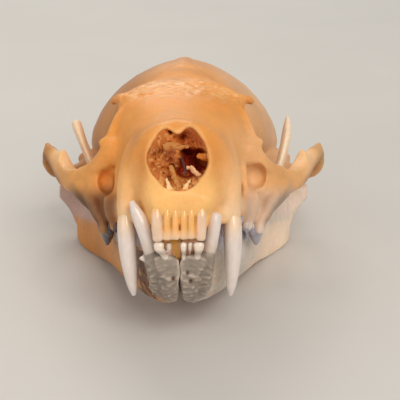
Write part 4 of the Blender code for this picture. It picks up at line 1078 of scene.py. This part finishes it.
smallTeeth = {
    # from the animal's right to its left: x at the gum and at the edge, half width, z of the edge, and
    # how far back from the others
    "upperFront": [(-2.6, -2.42, 0.62, -3.15, 0.06), (-1.42, -1.38, 0.43, -3.0, 0),
                   (-0.5, -0.49, 0.43, -2.95, 0), (0.47, 0.47, 0.43, -2.9, 0), (1.28, 1.25, 0.42, -2.85, 0),
                   (2.4, 2.34, 0.58, -3.05, 0.06)],
    "lowerFront": [(-1.45, -2.32, 0.58, -3.2, 0), (-0.95, -1.25, 0.36, -3.3, 0.9),
                   (0.42, 0.42, 0.36, -3.2, 0), (1.05, 1.12, 0.32, -3.25, 0.8), (1.9, 2.12, 0.58, -3.2, 0)],
    # x, y, z of the gum, length, width, crown height, turn of the long side outwards in degrees
    "upperCheek": [(6.8, 9.4, -1.1, 2.0, 1.4, 1.2, 4), (7.95, 12.5, -2.4, 2.4, 1.5, 0.9, 12),
                   (9.3, 16.6, -3.2, 5.2, 1.75, 2.1, 14), (8.5, 21.8, -0.5, 2.6, 4.6, 1.6, 8)],
    "lowerCheek": [(4.3, 8.2, -3.8, 1.9, 1.3, 1.3, 18), (5.0, 10.6, -3.8, 2.5, 1.5, 1.9, 20),
                   (6.1, 13.4, -5.4, 2.9, 2.0, 3.6, 18), (7.2, 18.0, -5.2, 6.8, 2.3, 4.6, 14),
                   (8.2, 22.3, -3.8, 1.7, 1.5, 0.8, 14)],
    # z of the gum, crown height, and the colours of root, neck and crown on each side; the right's are
    # darker, painted shade
    "cheekLooks": {
        "upper": (-2.2, 2.4, ("#D8B090", "#D8CCC8", "#A6A2AE"), ("#7E5438", "#6E4E44", "#4E3E40")),
        "lower": (-5.4, 4.0, ("#D5C4B8", "#CFC6C6", "#C2C0CE"), ("#C98F57", "#B49080", "#8E7A7C")),
    },
    "frontVoxel": 0.08,
    "cheekVoxel": 0.1,
    "rounds": 4,  # of smoothing
    "triangles": 90000,
}


def upperIncisor(gumX, edgeX, half, edge, back):
    # petal with a flattened edge; the outer teeth are widest above the middle, the inner ones at the edge
    front = 0.8 + back
    swell = (1.0, 1.05, 0.95, 0.8, 0.6) if half > 0.5 else (0.98, 0.92, 1.06, 1.0, 0.8)
    rows = zip((-0.9, -1.7, -2.4, edge + 0.12, edge), swell, (0.58, 0.54, 0.44, 0.3, 0.2))
    return bar([
        (gumX, front + 0.7, 1.3, half * 0.5, 0.5),
        (gumX, front + 0.4, 0.7, half * 0.85, 0.58),
        (gumX, front + 0.12, 0.0, half * 0.98, 0.6),
    ] + [(gumX + (edgeX - gumX) * z / edge, front, z, half * wide, deep) for z, wide, deep in rows],
        (1, 0, 0), steps=70, around=40, blunt=0.5, square=2.3)


def lowerIncisor(gumX, edgeX, half, edge, back):
    # small rounded cap on a narrow neck that leans in towards the midline below
    front = 0.95 + back
    return bar([
        (gumX, front + 1.5, -5.7, half * 0.6, 0.4),
        (gumX * 0.85 + edgeX * 0.15, front + 0.8, -5.0, half * 0.75, 0.5),
        (gumX * 0.4 + edgeX * 0.6, front + 0.3, -4.35, half * 0.7, 0.45),
        (edgeX, front, -3.85, half * 0.95, 0.45),
        (edgeX, front, edge - 0.2, half, 0.42),
        (edgeX, front, edge, half * 0.75, 0.3),
    ], (1, 0, 0), steps=60, around=40, blunt=0.5, square=2.2)


def cheekTooth(x, y, gum, length, width, height, turn, sign):
    # oval foot drawn up to a ridge, with lower cusps before and behind the main one; sign is -1 where
    # the tooth points down
    angle = math.radians(turn)
    aim = np.array([math.sin(angle), math.cos(angle), 0])
    foot = np.array([x, y, gum])

    def cusp(along, high, longHalf, wideHalf):
        # an upright bar that starts inside the bone and narrows to its point
        centre = foot + aim * along
        rows = [(-1.2, 0.7), (0.0, 1.0), (0.4, 0.85), (0.75, 0.5), (1.0, 0.14)]  # way up, share of the width
        return bar([
            (centre[0], centre[1], gum + sign * (high * up if up > 0 else up), longHalf * k, wideHalf * k)
            for up, k in rows
        ], aim, steps=26, around=26, blunt=0.5)

    shapes = [cusp(0, height, length * 0.4, width / 2)]
    if length > 2.4 > width:
        shapes.append(cusp(length * 0.3, height * 0.6, length * 0.2, width * 0.42))
        shapes.append(cusp(-length * 0.34, height * 0.4, length * 0.16, width * 0.4))
    if width > 4:
        # the last upper tooth lies across: a dumb-bell foot with a cusp at each end
        across = np.array([aim[1], -aim[0], 0])
        shapes.append(bar([(*(foot + across * along)[:2], gum - height * 0.4, 0.6, wide)
                           for along, wide in ((-1.5, 1.05), (0, 0.8), (1.6, 1.05))], (0, 0, 1), blunt=0.8))
        for along, high in ((-1.5, 0.8), (1.6, 0.7)):
            centre = foot + across * along
            shapes.append(bar([
                (*centre[:2], gum + 1.0, 0.9, 0.9), (*centre[:2], gum, 1.2, 1.1),
                (*centre[:2], gum - height * high * 0.7, 0.8, 0.8),
                (*centre[:2], gum - height * high, 0.3, 0.3),
            ], aim, steps=24, around=24, blunt=0.5))
    return shapes


def smallToothPiece(name, shapes, tintAt, voxel):
    # all teeth of a row in one piece; tintAt gives the colours of its points
    piece = newMesh(name, shapes)
    melted(piece, voxel)
    relaxed(piece, lambda points: np.ones(len(points)), smallTeeth["rounds"])
    thinned(piece, smallTeeth["triangles"])
    tinted(piece, tintAt(pointsOf(piece)))
    finished(piece, enamel, "tooth_enamel")


def upperFrontTint(points):
    # as yellow as the bone above, paler at the edge, the outer two the palest, with painted shade between
    # them
    x, y, z = points.T
    # painted shade in the gaps between the teeth
    gapShades = [near(points, (gap, 0.5, -0.7), (0.1, 2.0, 1.5)) for gap in (-1.86, -0.95, 0.88, 1.72)]
    return layered(plain(points, "#F2B96F"), [
        ("#EBC7A4", 1 - fade(z, -2.9, -1.4)),
        ("#E6CBB6", 0.85 * fade(np.abs(x), 1.85, 2.05) * (1 - fade(z, -0.6, 0.8))),
        *[("#9A6228", 0.55 * gap) for gap in gapShades],
    ])


def lowerFrontTint(points):
    # pinkish where the teeth stand further back
    tint = enamelTint(points, -4.5, 1.4, "#A2968A", "#BDB0A4", "#E8DACE")
    return layered(tint, [("#DDAA98", 0.7 * fade(points[:, 1], 1.45, 1.75))])


def cheekTint(points, row):
    # one set of enamel colours on each side of the head, the right's darker as painted shade
    gum, length, left, right = smallTeeth["cheekLooks"][row]
    leftTint, rightTint = enamelTint(points, gum, length, *left), enamelTint(points, gum, length, *right)
    return leftTint + (rightTint - leftTint) * fade(-points[:, 0], -1, 1)[:, None]


smallToothPiece("upperFrontTeeth", [upperIncisor(*tooth) for tooth in smallTeeth["upperFront"]],
                upperFrontTint, smallTeeth["frontVoxel"])
smallToothPiece("lowerFrontTeeth", [lowerIncisor(*tooth) for tooth in smallTeeth["lowerFront"]],
                lowerFrontTint, smallTeeth["frontVoxel"])
for cheekRow, cheekSign in (("upper", -1), ("lower", 1)):
    cheekShapes = sum([cheekTooth(*tooth, cheekSign) for tooth in smallTeeth[cheekRow + "Cheek"]], [])
    smallToothPiece(cheekRow + "CheekTeeth", both(cheekShapes),
                    lambda points: cheekTint(points, cheekRow), smallTeeth["cheekVoxel"])
print("teeth made")

nose = {
    "back": 12.8,
    "span": ((-3.9, 3.9, 226), (2.2, 10.1, 228)),  # of the spongy mass in x and z, with its points
    "depth": 1.0,  # of the spongy mass behind the rim, and the least
    "least": 0.25,
    "caveDepth": (4.2, 0.9),  # and how much it varies
    "cave": ((1.35, 5.3), (2.1, 1.8)),  # the deep dark part: middle and reach, x and z
    "swells": ((0.35, 1.8, 2.0), (0.28, 0.9, 5.0)),  # height, size and shift of grain
    "ridges": ((0.45, 1.2, 1.0, 0.12), (0.2, 0.6, 7.0, 0.15)),  # the same, and half width where grain is 0
    "pores": ((0.26, 0.5, 4.0), (0.12, 0.22, 6.0)),
    "hollows": [(-1.0, 9.1, 0.3, 1.4), (0.25, 8.4, 0.5, 1.6), (-1.1, 5.0, 0.3, 0.7), (-0.9, 3.9, 0.25, 0.7),
                (-3.0, 5.2, 0.3, 0.6)],  # x, z, reach, depth
    # thin pieces of bone: colour, and x, depth behind the rim, z, half height and half width along them
    "strips": [
        ("#C07E3E", [(-1.9, 0.95, 7.1, 0.5, 0.3), (-0.9, 0.95, 7.4, 0.5, 0.34), (-0.1, 1.1, 7.3, 0.34, 0.28),
                     (0.9, 1.5, 7.3, 0.14, 0.16)]),
        ("#C88644", [(-1.1, 1.1, 5.2, 0.3, 0.3), (-0.6, 0.9, 3.9, 0.3, 0.32), (-0.05, 0.5, 2.7, 0.3, 0.3)]),
        ("#FAD09A", [(-1.5, 0.35, 3.8, 0.09, 0.09), (-1.3, 0.3, 3.2, 0.22, 0.22),
                     (-1.0, 0.15, 2.5, 0.4, 0.34)]),
        ("#FAD09A", [(1.2, 0.5, 3.7, 0.16, 0.1), (0.85, 0.35, 3.2, 0.22, 0.18), (0.6, 0.2, 2.65, 0.32, 0.3)]),
        ("#F0B888", [(0.75, 1.5, 4.95, 0.18, 0.14), (1.2, 1.4, 4.95, 0.3, 0.16),
                     (1.75, 1.3, 4.45, 0.28, 0.16), (2.3, 1.2, 4.1, 0.2, 0.12)]),
        ("#D07828", [(2.0, 2.0, 6.25, 0.25, 0.3), (2.6, 1.6, 6.2, 0.42, 0.4), (3.5, 1.2, 6.15, 0.55, 0.5)]),
        ("#5E3A38", [(0.05, 2.4, 6.4, 0.08, 0.1), (0.35, 2.2, 5.4, 0.14, 0.16), (0.7, 2.0, 4.3, 0.1, 0.12)]),
    ],
}


def rimShare(x, z):
    # 0 in the middle of the nose opening and 1 on its rim
    midX, midZ = cranium["noseMiddle"]
    rim = noseRim(60) - cranium["noseMiddle"]
    turn = np.arctan2(rim[:, 1], rim[:, 0])
    order = np.argsort(turn)
    at = np.arctan2(z - midZ, x - midX)
    reach = np.interp(at, turn[order], np.hypot(*rim.T)[order], period=2 * math.pi)
    return np.hypot(x - midX, z - midZ) / reach


def spongeDepth(x, z):
    # how far behind the rim the spongy mass lies: low swells, thin ridges, small pores and the cave
    spot = np.stack([x, 0 * x, z], -1)
    (midX, midZ), (reachX, reachZ) = nose["cave"]
    fromCave = np.hypot((x - midX) / reachX, (z - midZ) / reachZ)
    cave = 1 - fade(fromCave + 0.3 * grain(spot, 0.9, 3.0), 0.7, 1.05)
    swells = sum(high * grain(spot, size, shift) for high, size, shift in nose["swells"])
    ridges = sum(high * np.exp(-(grain(spot, size, shift) / half) ** 2)
                 for high, size, shift, half in nose["ridges"])
    pores = sum(deep * fade(grain(spot, size, shift), 0.1, 0.6) for deep, size, shift in nose["pores"])
    depth = nose["depth"] + 0.35 * fade(x, -0.4, 0.6) * fade(z, 5.5, 7.5) + swells - ridges + pores
    share = rimShare(x, z)
    depth = depth * (1 - 0.8 * fade(share, 0.72, 1.0)) + 4.0 * fade(share, 1.1, 1.5)
    for midX, midZ, reach, extra in nose["hollows"]:
        depth = depth + extra * np.exp(-((x - midX) ** 2 + (z - midZ) ** 2) / reach ** 2)
    deep, varied = nose["caveDepth"]
    return np.maximum(depth, nose["least"]) + cave * (deep + varied * grain(spot, 1.0, 8.0))


def gridQuads(number):
    # the quads between neighbouring rows and columns of a table of point numbers
    return np.stack([number[:-1, :-1], number[1:, :-1], number[1:, 1:], number[:-1, 1:]], -1).reshape(-1, 4)


def spongeSlab():
    # height field over x and z, and a fan from its edge to one point far behind that closes it
    x, z = np.meshgrid(*[np.linspace(*span) for span in nose["span"]], indexing="ij")
    y = noseFront(x.ravel(), z.ravel()).reshape(x.shape) + spongeDepth(x, z)
    number = np.arange(x.size).reshape(x.shape)
    midX, midZ = cranium["noseMiddle"]
    points = np.vstack([np.stack([x, np.minimum(y, nose["back"] - 0.5), z], -1).reshape(-1, 3),
                        [(midX, nose["back"], midZ)]])
    edge = np.r_[number[:, 0], number[-1, 1:], number[-2::-1, -1], number[0, -2:0:-1]]
    fan = np.stack([np.roll(edge, -1), edge, np.full(len(edge), x.size)], -1)
    return points, gridQuads(number), fan


def spongeTint(points):
    # orange brown with paler and darker specks, and redder and darker the further behind the rim, as painted
    # shade
    x, y, z = points.T
    behind = y - noseFront(x, z)
    spot = np.stack([x, 0 * x, z], -1)
    return layered(plain(points, "#C06E2C"), [
        ("#E0A05C", 0.75 * fade(grain(spot, 0.26, 9.0) + 0.6 * grain(spot, 0.9, 3.0), 0.1, 0.7)),
        ("#8E4016", 0.8 * fade(grain(spot, 1.3, 5.5) + 0.6 * grain(spot, 0.3, 1.5), 0.2, 0.8)),
        ("#6A2408", 0.7 * fade(grain(spot, 0.3, 4.0), 0.4, 0.8)),
        ("#A44C1A", 0.7 * fade(z, 6.6, 7.8) * fade(x, -0.9, 0.3)),
        # painted shade: redder and darker the further behind the rim
        ("#B4581C", fade(behind, 1.3, 2.3)),
        ("#A04014", fade(behind, 2.0, 3.0)),
        ("#A62E14", fade(behind, 3.0, 4.8)),
    ])


def makeNoseInside():
    # the spongy mass and the thin strips of bone before it, each crumpled a little by grain
    slab = spongeSlab()
    shapes, tints = [slab], [spongeTint(slab[0])]
    for code, rows in nose["strips"]:
        rows = np.array(rows)
        rows[:, 1] += noseFront(rows[:, 0], rows[:, 2])
        points, quads, tris = bar(rows, (0, 0, 1), steps=60, around=24, blunt=0.4)
        points = points + 0.09 * np.stack([grain(points, 0.28, shift) for shift in (1.0, 2.0, 3.0)], -1)
        shapes.append((points, quads, tris))
        tints.append(plain(points, code))
    piece = newMesh("noseScrolls", shapes)
    tinted(piece, np.vstack(tints))
    finished(piece, noseBone, "cranium_bone")


makeNoseInside()
print("nose inside made")

studio = {
    "halfFloor": 1.2,  # metres
    "aim": (0, 0, 0.01),
    # soft lights: place, size, watts, colour
    "lights": {
        "window": ((-0.10, 0.50, 0.42), 0.30, 1.1, "#FFF8EA"),
        "front": ((0.20, -0.45, 0.42), 0.35, 2.15, "#FFF1E0"),
        "side": ((-0.40, -0.32, 0.22), 0.40, 0.5, "#FFF4E8"),
    },
    "surround": ("#F2EEE8", 0.55),
}
view = {
    "picture": 400,  # pixels each way
    "focus": (0, 3.0, 0),  # millimetres, in the skull's own frame
    "distance": 130.0,
    "pixels": 1152.0,  # focal length
    "midX": 180.0,  # where focus falls in the picture
    "midY": 212.0,
    "down": 4.0,  # degrees that the camera looks down
    "aside": 1.9,
    "sensor": 36.0,
}
def makeFloor():
    # flat grid of squares, pale painted board with a faint cloudiness
    span = np.linspace(-studio["halfFloor"], studio["halfFloor"], 25)
    x, y = np.meshgrid(span, span, indexing="ij")
    points = np.stack([x, y, 0 * x], -1).reshape(-1, 3)
    quads = gridQuads(np.arange(x.size).reshape(x.shape))
    floor = newMesh("floor", [(points, quads, np.zeros((0, 3), int))])
    material, tree = newMaterial("paintedBoard")
    coords = add(tree, "TexCoord")
    cloud = add(tree, "TexNoise", {"Vector": (coords, "Object"), "Scale": 30.0, "Detail": 3.0})
    ramp = add(tree, "MapRange", {"Value": (cloud, "Fac"), "To Min": 0.60, "To Max": 0.66})
    shader = add(tree, "BsdfPrincipled", {"Base Color": (ramp, "Result"), "Roughness": 0.6})
    add(tree, "OutputMaterial", {"Surface": (shader, "BSDF")})
    floor.data.materials.append(material)


def makeLight(name, spot, size, watts, code):
    # square soft light, turned towards the skull
    lamp = bpy.data.lights.new(name, "AREA")
    lamp.energy = watts
    lamp.size = size
    lamp.color = linear(code)
    holder = bpy.data.objects.new(name, lamp)
    holder.location = spot
    holder.rotation_euler = (Vector(studio["aim"]) - Vector(spot)).to_track_quat("-Z", "Y").to_euler()
    bpy.context.scene.collection.objects.link(holder)


def makeWorld(code, strength):
    # even pale light from all round
    world = bpy.data.worlds.new("studio")
    world.use_nodes = True
    world.node_tree.nodes["Background"].inputs["Color"].default_value = (*linear(code), 1)
    world.node_tree.nodes["Background"].inputs["Strength"].default_value = strength
    bpy.context.scene.world = world


def makeCamera():
    # the photo's view: before the nose, a little above and to one side; focus is brought to its place
    # in the picture by turning the camera aside and by raising it
    down = math.radians(view["down"])
    ahead = np.array([0, math.cos(down), -math.sin(down)])
    above = np.array([0, math.sin(down), math.cos(down)])
    perPixel = view["distance"] / view["pixels"]
    half = view["picture"] / 2
    focus = np.array(view["focus"])
    lifted = (view["midY"] - half) * perPixel * above
    aim = focus + (half - view["midX"]) * perPixel * np.array([1, 0, 0]) + lifted
    eye = focus - ahead * view["distance"] + np.array([view["aside"], 0, 0]) + lifted
    spot, target = Vector(rest(eye)), Vector(rest(aim))
    lens = bpy.data.cameras.new("camera")
    lens.sensor_width = view["sensor"]
    lens.lens = view["pixels"] / view["picture"] * view["sensor"]
    lens.clip_start = 0.005
    camera = bpy.data.objects.new("camera", lens)
    turn = (target - spot).to_track_quat("-Z", "Y").to_matrix().to_4x4()
    camera.matrix_world = Matrix.Translation(spot) @ turn
    bpy.context.scene.collection.objects.link(camera)
    bpy.context.scene.camera = camera


makeFloor()
makeWorld(*studio["surround"])
for lightName, light in studio["lights"].items():
    makeLight(lightName, *light)
makeCamera()
bpy.context.scene.view_settings.view_transform = "Standard"
print("floor, lights and camera made")
